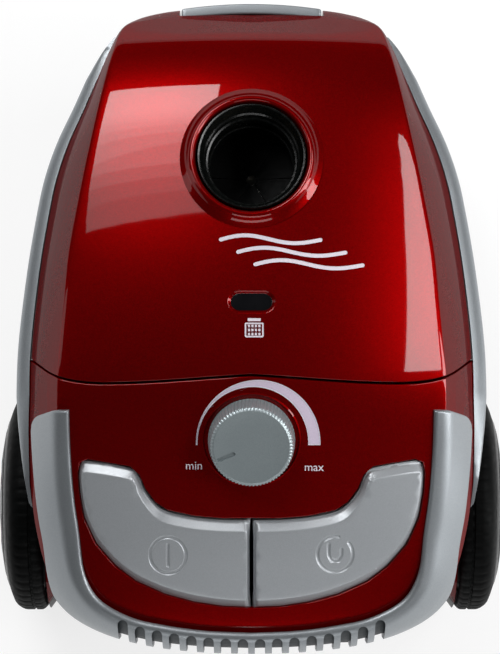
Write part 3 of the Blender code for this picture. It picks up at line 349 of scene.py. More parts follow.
def skin_normal(u, v):
    du, dv = 0.0015, 0.02
    v_low, v_high = max(v - dv, -1), min(v + dv, 3)
    if v <= 0:
        v_high = min(v_high, 0)
    elif v <= 1:
        v_low, v_high = max(v_low, 0), min(v_high, 1)
    elif v <= 2:
        v_low, v_high = max(v_low, 1), min(v_high, 2)
    down = skin(u, v_high) - skin(u, v_low)
    run = skin(min(u + du, 1), v) - skin(max(u - du, 0), v)
    if u <= du or u >= 1 - du:
        run = Vector((1 if u < 0.5 else -1, 0, 0))
    n = run.cross(down) * -1
    n.normalize()
    outside = -inward(u) + Vector((0, 0, 0.3 if v < 1.5 else -0.3))
    return n if n.dot(outside) > 0 else -n


def mirrored(p, side):
    return Vector((p.x * side, p.y, p.z))


def bisect(before, low, high):
    """Where before(value) turns from true to false."""
    for _ in range(40):
        middle = (low + high) / 2
        if before(middle):
            low = middle
        else:
            high = middle
    return low


def solve_v(u, z, low, high):
    """The v at which the surface comes down to height z."""
    return bisect(lambda v: skin(u, v).z > z, low, high)


def u_at_y(y):
    return bisect(lambda u: along("crease", u).y > y, 0.05, 0.95)


def winding(loop):
    """1 for a plan loop that runs anticlockwise, else -1."""
    area = sum(a[0] * b[1] - b[0] * a[1] for a, b in zip(loop, loop[1:] + loop[:1]))
    return 1 if area > 0 else -1


# ---- shells --------------------------------------------------------------------------------
class Skin:
    """Points with exact normals, and faces that share them."""

    def __init__(self):
        self.points, self.normals, self.faces, self.known = [], [], [], {}

    def vert(self, p, n):
        key = (round(p.x, 2), round(p.y, 2), round(p.z, 2))
        if key not in self.known:
            self.known[key] = len(self.points)
            self.points.append(Vector(p))
            self.normals.append(Vector(n).normalized())
        return self.known[key]

    def face(self, corners):
        corners = list(dict.fromkeys(corners))
        if len(corners) < 3:
            return
        p = [self.points[i] for i in corners]
        area = Vector((0, 0, 0))
        for k in range(1, len(p) - 1):
            area += (p[k] - p[0]).cross(p[k + 1] - p[0])
        if area.length < 1e-9:
            return
        if area.dot(sum((self.normals[i] for i in corners), Vector())) < 0:
            corners.reverse()
        self.faces.append(corners)

    def grid(self, rows):
        ids = [[self.vert(p, n) for p, n in row] for row in rows]
        for a, b in zip(ids, ids[1:]):
            for k in range(len(a) - 1):
                self.face((a[k], a[k + 1], b[k + 1], b[k]))

    def patch(self, outline, holes=(), spacing=5.0, height=None, normal=None, creases=()):
        """Fills a plan outline. height(x, y) and normal(x, y) are the body's top if not given, and
        creases are loops that the mesh follows."""
        height, normal = height or top, normal or top_normal
        flat, edges = [], []
        for loop in (outline, *holes, *creases):
            start = len(flat)
            flat += [Vector((p[0], p[1])) for p in loop]
            edges += [(start + i, start + (i + 1) % len(loop)) for i in range(len(loop))]
        border = np.array([(p.x, p.y) for p in flat])
        xs = np.arange(border[:, 0].min(), border[:, 0].max(), spacing)
        ys = np.arange(border[:, 1].min(), border[:, 1].max(), spacing)
        inner = np.array([(x + (spacing / 2 if j % 2 else 0), y) for j, y in enumerate(ys) for x in xs])

        def kept(spots):
            ok = inside(spots, outline)
            for hole in holes:
                ok &= ~inside(spots, hole)
            return ok

        inner = inner[kept(inner)]
        if len(inner):
            gap = np.sqrt(((inner[:, None, :] - border[None, :, :]) ** 2).sum(2)).min(1)
            inner = inner[gap > spacing * 0.45]
            flat += [Vector((x, y)) for x, y in inner]
        points, _, tris, _, _, _ = delaunay_2d_cdt(flat, edges, [], 0, 1e-5)
        spots = np.array([(p.x, p.y) for p in points])
        tris = [t for t in tris if len(t) == 3]
        middle = np.array([spots[list(t)].mean(0) for t in tris])
        ids = {}
        for t, good in zip(tris, kept(middle)):
            if not good:
                continue
            for i in t:
                if i not in ids:
                    x, y = points[i].x, points[i].y
                    ids[i] = self.vert(Vector((x, y, height(x, y))), normal(x, y))
            self.face([ids[i] for i in t])

    def borders(self):
        """The open edges as closed loops, each with its face on the left."""
        edges = {(a, b) for f in self.faces for a, b in zip(f, f[1:] + f[:1])}
        follow = {a: b for a, b in edges if (b, a) not in edges}
        loops = []
        while follow:
            start, at = next(iter(follow.items()))
            loop = [start]
            del follow[start]
            while at != start and at in follow:
                loop.append(at)
                at = follow.pop(at)
            if len(loop) > 2:
                loops.append(loop)
        return loops

    def close(self, wall=WALL, radius=0.5):
        """Adds rounded lips round every border, and the inside of the wall."""
        outer = [list(f) for f in self.faces]
        inner_id = {}

        def add(p, n):
            self.points.append(p)
            self.normals.append(n)
            return len(self.points) - 1

        for i in sorted({i for f in outer for i in f}):
            inner_id[i] = add(self.points[i] - self.normals[i] * wall, -self.normals[i])
        loops = self.borders()
        self.faces += [[inner_id[i] for i in reversed(f)] for f in outer]
        for loop in loops:
            rings = []
            count = len(loop)
            for k, i in enumerate(loop):
                p, n = self.points[i], self.normals[i]
                before = (p - self.points[loop[k - 1]]).normalized().cross(n)
                after = (self.points[loop[(k + 1) % count]] - p).normalized().cross(n)
                out = before + after
                if out.length < 0.2:
                    out = after
                out.normalize()
                stretch = 1 / max(0.6, out.dot(after.normalized()))
                ring = [i]
                for angle in (math.radians(30), math.radians(60), math.radians(90)):
                    shift = out * radius * stretch * math.sin(angle) - n * radius * (1 - math.cos(angle))
                    ring.append(add(p + shift, n * math.cos(angle) + out * math.sin(angle)))
                ring.append(add(p + out * radius * stretch - n * (wall - 0.2), out))
                ring.append(inner_id[i])
                rings.append(ring)
            for k in range(count):
                a, b = rings[k], rings[(k + 1) % count]
                for m in range(len(a) - 1):
                    self.faces.append([b[m], a[m], a[m + 1], b[m + 1]])
        return self

    def build(self, name, material):
        mesh = bpy.data.meshes.new(name)
        mesh.from_pydata([BODY @ p for p in self.points], [], self.faces)
        mesh.polygons.foreach_set("use_smooth", [True] * len(mesh.polygons))
        turn = BODY.to_3x3()
        mesh.normals_split_custom_set_from_vertices([(turn @ n).normalized() for n in self.normals])
        mesh.materials.append(material)
        obj = bpy.data.objects.new(name, mesh)
        scene.collection.objects.link(obj)
        return obj


def inside(points, loop):
    """Which of the points lie inside a plan loop."""
    x, y = points[:, 0], points[:, 1]
    found = np.zeros(len(points), bool)
    n = len(loop)
    for i in range(n):
        (x0, y0), (x1, y1) = loop[i][:2], loop[(i + 1) % n][:2]
        if y0 == y1:
            continue
        crossing = (y0 > y) != (y1 > y)
        found ^= crossing & (x < (x1 - x0) * (y - y0) / (y1 - y0) + x0)
    return found


def object_of(name, points, faces, material, place=BODY, smooth=35):
    mesh = bpy.data.meshes.new(name)
    mesh.from_pydata([place @ Vector(p) for p in points], [], faces)
    work = bmesh.new()
    work.from_mesh(mesh)
    bmesh.ops.remove_doubles(work, verts=work.verts, dist=1e-7)
    bmesh.ops.recalc_face_normals(work, faces=work.faces)
    if work.calc_volume(signed=True) < 0:
        bmesh.ops.reverse_faces(work, faces=work.faces)
    work.to_mesh(mesh)
    work.free()
    mesh.shade_smooth()
    mesh.set_sharp_from_angle(angle=math.radians(smooth))
    mesh.materials.append(material)
    obj = bpy.data.objects.new(name, mesh)
    scene.collection.objects.link(obj)
    return obj


def placed(origin, axis):
    return BODY @ Matrix.Translation(origin) @ Vector(axis).to_track_quat("Z", "Y").to_matrix().to_4x4()


def lathe(name, profile, material, place, steps=96, wobble=None, smooth=35):
    """A closed profile of (radius, height) turned about local Z. wobble(angle, radius, height)
    may change a radius."""
    points, rows, faces = [], [], []
    for radius, height in profile:
        if radius <= 0:
            continue
        rows.append([len(points) + i for i in range(steps)])
        for i in range(steps):
            angle = 2 * math.pi * i / steps
            r = radius + (wobble(angle, radius, height) if wobble else 0)
            points.append((r * math.cos(angle), r * math.sin(angle), height))
    solid = any(radius <= 0 for radius, _ in profile)
    for a, b in list(zip(rows, rows[1:])) + ([] if solid else [(rows[-1], rows[0])]):
        faces += [(a[i], a[(i + 1) % steps], b[(i + 1) % steps], b[i]) for i in range(steps)]
    if solid:
        faces += [tuple(rows[0]), tuple(rows[-1])]
    return object_of(name, points, faces, material, place, smooth)


def rounded_profile(points, radius, steps):
    """The same closed profile with each corner cut to a small round."""
    out, n = [], len(points)
    for i in range(n):
        a, p, b = (Vector(points[(i + k) % n]) for k in (-1, 0, 1))
        r = min(radius, (a - p).length * 0.45, (b - p).length * 0.45)
        start, end = p + (a - p).normalized() * r, p + (b - p).normalized() * r
        for k in range(steps + 1):
            t = k / steps
            q = start * (1 - t) ** 2 + p * 2 * t * (1 - t) + end * t * t
            out.append((q.x, q.y))
    return out


def apply_modifiers(obj):
    bpy.context.view_layer.update()
    mesh = bpy.data.meshes.new_from_object(obj.evaluated_get(bpy.context.evaluated_depsgraph_get()))
    obj.modifiers.clear()
    obj.data = mesh
    return mesh


def subtract(obj, cutter):
    modifier = obj.modifiers.new("cut", "BOOLEAN")
    modifier.operation, modifier.solver, modifier.object = "DIFFERENCE", "EXACT", cutter
    mesh = apply_modifiers(obj)
    bpy.data.objects.remove(cutter)
    return mesh


def carve_flat(obj, cutter):
    """A Boolean cut for pieces that are shaded by angle."""
    subtract(obj, cutter).set_sharp_from_angle(angle=math.radians(30))


def carve(obj, cutter):
    """A Boolean cut that keeps the exact normals of what is left of the surface."""
    source = obj.data
    tree = BVHTree.FromPolygons([v.co for v in source.vertices], [p.vertices for p in source.polygons])
    normals = [Vector() for _ in source.vertices]
    for loop, corner in zip(source.loops, source.corner_normals):
        normals[loop.vertex_index] += Vector(corner.vector)
    mesh = subtract(obj, cutter)
    custom = [Vector((0, 0, 0))] * len(mesh.loops)
    for polygon in mesh.polygons:
        polygon.use_smooth = True
        _, flat, index, gap = tree.find_nearest(polygon.center)
        for loop in polygon.loop_indices:
            spot = mesh.vertices[mesh.loops[loop].vertex_index].co
            custom[loop] = polygon.normal.copy()
            if index is None or gap > 2e-5 or abs(flat.dot(polygon.normal)) < 0.9:
                continue
            ids = source.polygons[index].vertices
            weights = [1 / ((source.vertices[i].co - spot).length + 1e-7) ** 2 for i in ids]
            blended = sum((normals[i].normalized() * w for i, w in zip(ids, weights)), Vector())
            if blended.length > 0:
                custom[loop] = blended.normalized()
    mesh.normals_split_custom_set(custom)


def block(low, high):
    (x0, y0, z0), (x1, y1, z1) = low, high
    points = [(x, y, z) for z in (z0, z1) for y in (y0, y1) for x in (x0, x1)]
    faces = [(0, 1, 3, 2), (4, 6, 7, 5), (0, 4, 5, 1), (2, 3, 7, 6), (0, 2, 6, 4), (1, 5, 7, 3)]
    return object_of("cutter", points, faces, BLACK)


def drum(radius, origin, axis, length, steps=96):
    return lathe("cutter", [(0, 0), (radius, 0), (radius, length), (0, length)], BLACK,
                 placed(origin, axis), steps)


def circle(centre, radius, count, tilted=None):
    """A plan loop: a circle round centre, or one in a tilted frame seen from above."""
    place = tilted or Matrix.Translation((*centre, 0))
    loop = [place @ Vector((x, y, 0)) for x, y in arc(0, 0, radius, 0, 360, count)[:-1]]
    return [(p.x, p.y) for p in loop]


def grown(loop, grow):
    """A plan loop moved outwards, whichever way round it runs."""
    n, turn = len(loop), winding(loop)
    out = []
    for i in range(n):
        a, b, c = (Vector(loop[(i + k) % n][:2]) for k in (-1, 0, 1))
        before, after = (b - a).normalized(), (c - b).normalized()
        away = Vector((before.y + after.y, -before.x - after.x)) * turn
        scale = grow / max(0.5, away.length / 2)
        shifted = b + away.normalized() * scale
        out.append((shifted.x, shifted.y))
    return out


def smooth_loop(loop, per=4, sharp=()):
    """A finer loop through the same corners, rounded a little except at the sharp ones."""
    n = len(loop)
    out = []
    for i in range(n):
        a, b, c, d = (np.array(loop[(i + k) % n][:2], float) for k in (-1, 0, 1, 2))
        m0 = (c - b) if i in sharp else (c - a) * 0.45
        m1 = (c - b) if (i + 1) % n in sharp else (d - b) * 0.45
        for k in range(per):
            t = k / per
            p = ((2 * t ** 3 - 3 * t ** 2 + 1) * b + (t ** 3 - 2 * t ** 2 + t) * m0
                 + (3 * t ** 2 - 2 * t ** 3) * c + (t ** 3 - t ** 2) * m1)
            out.append((float(p[0]), float(p[1])))
    return out


GAP = 0.6 + 0.5     # half of the parting gap, and the lip's radius
LID_V = [-1, -0.85, -0.7, -0.55, -0.4, -0.25, -0.1, 0, 0.12, 0.25, 0.4, 0.55, 0.7, 0.82, 0.9, 1.0]


def strip_rows(levels, level, gap_at, count, start=0.0):
    """Rows of the form from one end on the parting line round to the other. level(u, v) turns a
    row's v into the form's, and gap_at(point) changes sign on the parting line."""
    rows = []
    for v in levels:
        end = 1.0 - start
        if gap_at:
            end = bisect(lambda u: gap_at(skin(u, level(u, v))) > 0, 0.0, 1.0)
        us = [end + (start - end) * k / count for k in range(count + 1)]
        path = [(u, 1) for u in us] + [(u, -1) for u in reversed(us[:-1])]
        row = []
        for u, side in path:
            at = level(u, v)
            row.append((mirrored(skin(u, at), side), mirrored(skin_normal(u, at), side)))
        rows.append(row)
    return rows


def parting_row(x_end, shift, count=60):
    """Points of the parting line between the ends of a shell, without the ends themselves."""
    xs = [-x_end + 2 * x_end * k / count for k in range(1, count)]
    return [(x, parting(x) + shift) for x in xs]


def make_lid():
    def level(u, v):
        if v <= 0:
            return v
        return v * solve_v(u, rim(skin(u, 1.0).y) + 1.0, 0.0, 1.9)

    s = Skin()
    rows = strip_rows(LID_V, level, lambda p: p.y - parting(p.x) - GAP, 110)
    s.grid(rows)
    ring = [(p.x, p.y) for p, _ in rows[0]]
    port = circle(None, 33.6, 96, PORT)
    s.patch(ring + parting_row(ring[0][0], GAP), [port, window_loop(1.5)])
    s.close()
    lid = s.build("lid_shell", RED)
    half = LATCH_HALF + 1.2
    notch = [(x, latch_front(x) - 6.8) for x in latch_steps(half, 24)] + [(half, 200), (-half, 200)]
    carve(lid, prisms([notch], 90, LATCH_TOP + 1.0))
    finish_piece(lid, "lid", "gloss_red", "lid")
    make_collar()
    brackets("lid_brackets", "lid", "gloss_red", RED, [
        *[((x - 2, LATCH_Y - 5.2, 124.5), (x + 2, LATCH_Y + 2.8, 150)) for x in (-24, 24)],
        ((-27, LATCH_Y - 5.7, 144), (27, LATCH_Y - 1.0, 154)),
        *[((x - 4, -23.4, 196.5), (x + 4, -14.6, 204.8)) for x in (-30, 30)]])


def window_loop(grow=0.0, count=40):
    half, radius, y = 6.0, 5.2 + grow, 8.0
    loop = []
    for i in range(count):
        angle = 2 * math.pi * (i + 0.5) / count
        loop.append((half * (1 if math.cos(angle) > 0 else -1) + radius * math.cos(angle),
                     y + radius * 0.92 * math.sin(angle)))
    return loop


def make_collar():
    """The flared red mouth of the hose port."""
    profile = [(29.3, -6), (33.0, -6), (33.2, -1.6), (37.6, -1.2), (36.6, -0.4), (35.6, 0.3), (34.7, 1.2),
               (33.9, 2.2), (33.2, 3.2), (32.4, 4.1), (31.6, 4.55), (30.8, 4.5), (30.1, 3.9), (29.6, 2.8),
               (29.3, 1.2)]
    collar = lathe("port_collar", profile, RED, BODY @ PORT, 144, smooth=60)
    finish_piece(collar, "lid", "gloss_red")


def pedal_hole():
    """One loop round both pedals."""
    left = grown(PEDAL, 1.0 + 0.5)[1:-1]
    loop = [(0.0, left[0][1] + 0.15)] + left + [(0.0, left[-1][1] - 0.5)]
    return loop + [(-x, y) for x, y in reversed(left)]


def densify(loop, step=3.0):
    out = []
    for (x0, y0), (x1, y1) in zip(loop, loop[1:] + loop[:1]):
        count = max(1, int(math.hypot(x1 - x0, y1 - y0) / step))
        out += [(x0 + (x1 - x0) * k / count, y0 + (y1 - y0) * k / count) for k in range(count)]
    return out


REAR_V = [-1, -0.75, -0.5, -0.25, 0, 0.25, 0.5, 0.75, 1.0, 1.2, 1.4, 1.6, 1.8, 2.0]


def make_rear_cover():
    def level(u, v):
        return v if v <= 1 else 1 + (v - 1) * (solve_v(u, 81.0, 1.0, 2.0) - 1)

    s = Skin()
    rows = strip_rows(REAR_V, level, lambda p: p.y - parting(p.x) + GAP, 110, start=1.0)
    s.grid(rows)
    ring = [(p.x, p.y) for p, _ in rows[0]]
    dial = circle(None, DIAL_R + 2.6, 96, DIAL)
    s.patch(ring + parting_row(ring[0][0], -GAP), [densify(pedal_hole(), 3.0), dial])
    s.close()
    cover = s.build("rear_shell", RED)
    for side in (-1, 1):
        carve(cover, drum(66, (side * 114.4, WHEEL_Y, WHEEL_R), (side, 0, 0), 40))
    carve(cover, block((-60, -190, 115), (60, -150, 140)))
    finish_piece(cover, "body", "gloss_red", "rear_cover")
    dish = [(4.2, -2.6), (25.9, -2.6), (25.9, -0.4), (25.2, -0.1), (24.9, -1.2), (4.2, -1.3)]
    finish_piece(lathe("dial_well", dish, RED, BODY @ DIAL, 96), "body", "gloss_red")
    lugs = []
    for near, far, top_z in ((30.6, 34.4, 189.5), (73.6, 77.8, 182.2)):
        for side in (-1, 1):
            x0, x1 = sorted((side * near, side * far))
            lugs.append(((x0, -79, 163), (x1, -69, 170.8)))
            lugs.append(((x0, -74, 168), (x1, -69, top_z)))
    brackets("panel_lugs", "body", "gloss_red", RED, lugs)


# ---- small building blocks --------------------------------------------------------------------
def rounded(obj, width, angle, segments=3):
    """Bevels every edge sharper than angle, and applies it."""
    modifier = obj.modifiers.new("edges", "BEVEL")
    modifier.width, modifier.segments = width * MM, segments
    modifier.limit_method, modifier.angle_limit = "ANGLE", math.radians(angle)
    modifier.harden_normals = True
    apply_modifiers(obj)
    return obj


def brackets(name, body, slot, material, boxes):
    """Several moulded blocks with rounded edges, as one piece."""
    points, faces = [], []
    for (x0, y0, z0), (x1, y1, z1) in boxes:
        start = len(points)
        points += [(x, y, z) for z in (z0, z1) for y in (y0, y1) for x in (x0, x1)]
        faces += [tuple(start + i for i in f) for f in
                  ((0, 2, 3, 1), (4, 5, 7, 6), (0, 1, 5, 4), (2, 6, 7, 3), (0, 4, 6, 2), (1, 3, 7, 5))]
    mesh = bpy.data.meshes.new(name)
    mesh.from_pydata([BODY @ Vector(p) for p in points], [], faces)
    mesh.materials.append(material)
    obj = bpy.data.objects.new(name, mesh)
    scene.collection.objects.link(obj)
    finish_piece(rounded(obj, 0.4, 30, 2), body, slot)


def ring_solid(name, sections, material, smooth):
    """A solid through closed cross-sections that have equal numbers of points."""
    n = len(sections[0])
    points = [p for section in sections for p in section]
    faces = [(k * n + m, k * n + (m + 1) % n, (k + 1) * n + (m + 1) % n, (k + 1) * n + m)
             for k in range(len(sections) - 1) for m in range(n)]
    last = (len(sections) - 1) * n
    faces += [tuple(range(n)), tuple(last + m for m in range(n))]
    return object_of(name, points, faces, material, smooth=smooth)


def prisms(outlines, low, high, place=BODY):
    """One cutter from several plan outlines between two heights."""
    points, faces = [], []
    for outline in outlines:
        start, n = len(points), len(outline)
        points += [(x, y, low) for x, y in outline] + [(x, y, high) for x, y in outline]
        faces += [tuple(start + i for i in range(n)), tuple(start + n + i for i in range(n))]
        faces += [(start + i, start + (i + 1) % n, start + n + (i + 1) % n, start + n + i) for i in range(n)]
    return object_of("cutter", points, faces, BLACK, place)


def finish_piece(obj, body, slot, *nodes):
    """Ties a piece to its body, in place of the CAD nodes named. The slot is not used."""
    if nodes:
        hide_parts(*nodes)
    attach(obj, body)


def decal(name, outline, body, material=PRINT, lift=0.05, holes=(), spacing=3.0):
    """A print on the body's top, as a very thin solid."""
    s = Skin()
    s.patch(outline, list(holes), spacing, height=lambda x, y: top(x, y) + lift)
    s.close(wall=lift + 0.02, radius=0.02)
    finish_piece(s.build(name, material), body, "paper")


def stroke(path, half, caps=5):
    """A closed loop at a fixed distance from an open path, with round ends."""
    path = [Vector(p[:2]) for p in path]
    left, right = [], []
    for i, p in enumerate(path):
        a, b = path[max(i - 1, 0)], path[min(i + 1, len(path) - 1)]
        run = (b - a).normalized()
        out = Vector((-run.y, run.x)) * half
        left.append(p + out)
        right.append(p - out)
    loop = []
    for end, run, side in ((path[-1], (path[-1] - path[-2]).normalized(), left),
                           (path[0], (path[0] - path[1]).normalized(), right[::-1])):
        loop += side
        out = Vector((-run.y, run.x))
        for k in range(1, caps):
            angle = math.pi * k / caps
            loop.append(end + out * half * math.cos(angle) + run * half * math.sin(angle))
    return [(p.x, p.y) for p in loop]


def arc(cx, cy, r, start, end, count):
    """Points of a circular arc, angles in degrees."""
    return [(cx + r * math.cos(math.radians(start + (end - start) * k / count)),
             cy + r * math.sin(math.radians(start + (end - start) * k / count))) for k in range(count + 1)]


# ---- pedals and dial ---------------------------------------------------------------------------
def edge_table(loop):
    """The loop's edges as arrays, with the width that the pedal's bevel has on each."""
    a = np.array(loop)
    b = np.roll(a, -1, axis=0)
    run = b - a
    length = np.linalg.norm(run, axis=1)
    out_y = -run[:, 0] / length * winding(loop)
    width = 1.0 + 4.8 * np.clip(out_y, 0, 1) + 2.6 * np.clip(-out_y, 0, 1)
    return a, run, length, width


def stroke_distance(x, y, paths):
    best = 99.0
    for path in paths:
        p = np.array(path)
        a, run = p[:-1], p[1:] - p[:-1]
        t = np.clip(((x - a[:, 0]) * run[:, 0] + (y - a[:, 1]) * run[:, 1]) / (run ** 2).sum(1), 0, 1)
        gap = np.hypot(a[:, 0] + t * run[:, 0] - x, a[:, 1] + t * run[:, 1] - y).min()
        best = min(best, gap)
    return best


def make_pedal(side, name, icon, centre, pusher):
    """A pedal with a broad bevel and its pictogram sunk in the top, on two arms and a pusher."""
    loop = smooth_loop([(-side * x, y) for x, y in PEDAL], 5, (0, len(PEDAL) - 1))
    a, run, length, width = edge_table(loop)
    bevel, blend = 4.4, 0.10
    half, groove, wall = 0.95, 0.5, 0.3

    def share(x, y):
        t = np.clip(((x - a[:, 0]) * run[:, 0] + (y - a[:, 1]) * run[:, 1]) / length ** 2, 0, 1)
        gap = np.hypot(a[:, 0] + t * run[:, 0] - x, a[:, 1] + t * run[:, 1] - y)
        return (gap / width).min()

    def height(x, y):
        t = share(x, y)
        drop = 0.0
        if t < 1 - blend:
            drop = bevel * (1 - t)
        elif t < 1 + blend:
            drop = bevel * (1 + blend - t) ** 2 / (4 * blend)
        depth = 0.0
        if math.hypot(x - centre[0], y - centre[1]) < 13:
            depth = groove * min(max((half - stroke_distance(x, y, icon)) / wall, 0), 1)
        return top(x, y) + 1.6 - drop - depth

    def inset(amount):
        n, turn = len(loop), winding(loop)
        moved = []
        for i in range(n):
            p, q, r = (Vector(loop[(i + k) % n]) for k in (-1, 0, 1))
            before, after = (q - p).normalized(), (r - q).normalized()
            n1, n2 = Vector((before.y, -before.x)) * turn, Vector((after.y, -after.x)) * turn
            w1, w2 = width[i - 1] * amount, width[i] * amount
            bend = n1.x * n2.y - n1.y * n2.x
            if abs(bend) > 0.5:
                moved.append((q.x + (-w1 * n2.y + w2 * n1.y) / bend, q.y + (w1 * n2.x - w2 * n1.x) / bend))
            else:
                away = (n1 + n2).normalized() * (w1 + w2) / 2
                moved.append((q.x - away.x, q.y - away.y))
        return moved

    creases = [inset(t) for t in (0.3, 1 - blend, 1 + blend)]
    for path in icon:
        if path[0] == path[-1]:
            cx, cy = centre
            r = math.hypot(path[0][0] - cx, path[0][1] - cy)
            steps = (half - wall - 0.2, half - wall, half, half + 0.25)
            creases += [circle(centre, r + d * way, 96) for d in steps for way in (-1, 1)]
        else:
            creases += [stroke(path, half + 0.25), stroke(path, half), stroke(path, half - wall)]
    s = Skin()
    s.patch(loop, [], 3.0, height, normal_of(height, 0.12), creases)
    s.close(wall=2.4, radius=0.4)
    finish_piece(s.build(name + "_cap", PEDAL_SILVER), name, "satin_silver", name)
    arms = []
    for near, far, low_y, top_z in ((78.4, 83.6, -84, 176.5), (35.0, 40.2, -105, 171.5)):
        x0, x1 = sorted((side * near, side * far))
        arms.append(((x0, low_y, 164), (x1, -70, top_z)))
    arms.append(pusher)
    brackets(name + "_arms", name, "satin_silver", PEDAL_SILVER, arms)


def make_pedals():
    cx, cy = -44.3, -123.8
    power = [arc(cx, cy, 9.6, 0, 360, 72), [(cx, cy + 5.6), (cx, cy - 5.4)]]
    power[0][-1] = power[0][0]
    make_pedal(-1, "power_pedal", power, (cx, cy), ((-48, -115, 160.6), (-42, -109, 174)))
    cx, cy = 44.3, -123.2
    plug = [(-3.4, 5.4), (-3.4, -0.6), (-1.9, -3.8), (1.9, -3.8), (3.4, -0.6), (3.4, 2.6)]
    rewind = [arc(cx, cy, 9.4, 80, 400, 60), [(cx + x, cy + y) for x, y in plug]]
    make_pedal(1, "rewind_pedal", rewind, (cx, cy), ((62.5, -131.5, 152.9), (66.5, -126.5, 166)))


def make_knob():
    ridges = 72

    def knurl(angle, radius, height):
        if not 0.6 < height < 11.2 or radius < 18:
            return 0.0
        return -0.55 * (0.5 + 0.5 * math.cos(angle * ridges)) ** 0.8

    r = DIAL_R
    profile = [(0, -0.7), (r - 0.6, -0.7), (r - 0.1, -0.3), (r, 0.1), (r, 0.7), (r, 1.1),
               (r - 0.1, 3), (r - 0.3, 6), (r - 0.8, 9.0), (r - 1.0, 10.3), (r - 1.05, 10.9),
               (r - 1.2, 11.1), (r - 2.9, 11.98),
               (r - 3.1, 12.05), (r - 3.4, 12.0), (12, 11.85), (5, 11.8), (0, 11.8)]
    knob = lathe("knob_cap", profile, KNOB_SILVER, BODY @ DIAL, ridges * 6, knurl, 50)
    angle = math.radians(202)
    run = Vector((math.cos(angle), math.sin(angle)))
    path = [tuple(run * d) for d in (10.2, 14, 18.2)]
    carve_flat(knob, prisms([stroke(path, 1.15)], 11.1, 13, BODY @ DIAL))
    finish_piece(knob, "suction_knob", "satin_silver", "suction_knob")


# ---- prints -------------------------------------------------------------------------------------
def crescent(inset=0.0):
    end = -65.9
    outer_r, inner_r = 32.6 - inset, 29.0 + inset
    low = math.degrees(math.asin((end + inset + 65.0) / outer_r))
    inner_low = math.degrees(math.asin((end + inset + 65.0) / inner_r))
    return (arc(3.5, -65.0, outer_r, low, 180 - low, 70)
            + arc(0.7, -65.0, inner_r, 180 - inner_low, inner_low, 60))


def word(name, text, centre, width, body):
    """Generic lettering laid on the body's top."""
    curve = bpy.data.curves.new(name, "FONT")
    curve.body = text
    curve.extrude = 0.01
    curve.align_x = "CENTER"
    curve.resolution_u = 4
    source = bpy.data.objects.new(name, curve)
    scene.collection.objects.link(source)
    bpy.context.view_layer.update()
    mesh = bpy.data.meshes.new_from_object(source.evaluated_get(bpy.context.evaluated_depsgraph_get()))
    bpy.data.objects.remove(source)
    xs = [v.co.x for v in mesh.vertices]
    scale = width / (max(xs) - min(xs))
    for v in mesh.vertices:
        x, y = centre[0] + v.co.x * scale, centre[1] + v.co.y * scale
        v.co = BODY @ Vector((x, y, top(x, y) + (0.07 if v.co.z > 0 else 0.005)))
    mesh.materials.clear()
    mesh.materials.append(PRINT)
    obj = bpy.data.objects.new(name, mesh)
    scene.collection.objects.link(obj)
    finish_piece(obj, body, "paper")


def make_prints():
    decal("scale_border", crescent(), "body", lift=0.04, spacing=4)
    decal("scale_fill", crescent(0.55), "body", SCALE_PRINT, 0.09, spacing=4)
    word("word_min", "min", (-30.2, -78.6), 8.4, "body")
    word("word_max", "max", (32.8, -79.4), 10.0, "body")

    x, y = 1.4, -5.4
    right = [(4.6, 2.6), (4.9, 2.2), (4.9, -4.4), (4.4, -5.0)]
    bag = [(x - 4.6, y + 2.6)] + [(x + a, y + b) for a, b in right]
    bag += [(x - a, y + b) for a, b in reversed(right[1:])]
    decal("bag_icon_body", bag, "lid", holes=[grown(bag, -0.8)])
    neck = [(x + a, y + b) for a, b in ((-3.4, 3.4), (3.4, 3.4), (3.4, 4.9), (-3.4, 4.9))]
    decal("bag_icon_collar", neck, "lid")
    for row in range(3):
        for column in range(4):
            cx, cy = x - 2.7 + 1.8 * column, y + 0.9 - 2.1 * row
            dot = [(cx + a, cy + b) for a, b in ((-.55, -.65), (.55, -.65), (.55, .65), (-.55, .65))]
            decal(f"bag_icon_dot_{row}{column}", dot, "lid")

    for k, (start, end, height) in enumerate(((-16, 36, 40.5), (-7, 49, 34), (2, 58, 27.5))):
        path = []
        for i in range(25):
            t = i / 24
            path.append((start + (end - start) * t, height + 2.4 * math.sin(2 * math.pi * t) * (1 - 0.3 * t)))
        decal(f"air_flow_line_{k}", stroke(path, 1.0), "lid", spacing=4)


# ---- silver trim ---------------------------------------------------------------------------------
def shoulder(u, w):
    """A point and its normal: w below 0 is mm inside the crease, above it the flank's share."""
    size = round_size(u)
    if w < -size:
        p = raw(u, w)
        return p, top_normal(p.x, p.y)
    v = w / size if w < 0 else w
    return skin(u, v), skin_normal(u, v)


def tail_share(place):
    return ease(0, 1, (0.36 - abs(place - 0.5)) / 0.16)


def tail_path(first, count):
    """Stations (u, side, place) from the left end round the tail to the right end."""
    us = [first + (1 - first) * k / count for k in range(count + 1)]
    us[1:3] = [first + (us[2] - first) * t for t in (0.03, 0.08, 0.15, 0.24, 0.35, 0.48, 0.62, 0.78)]
    path = [(u, -1) for u in us] + [(u, 1) for u in reversed(us[:-1])]
    return [(u, side, (u - first) / (1 - first) / 2 if side < 0 else 1 - (u - first) / (1 - first) / 2)
            for u, side in path]


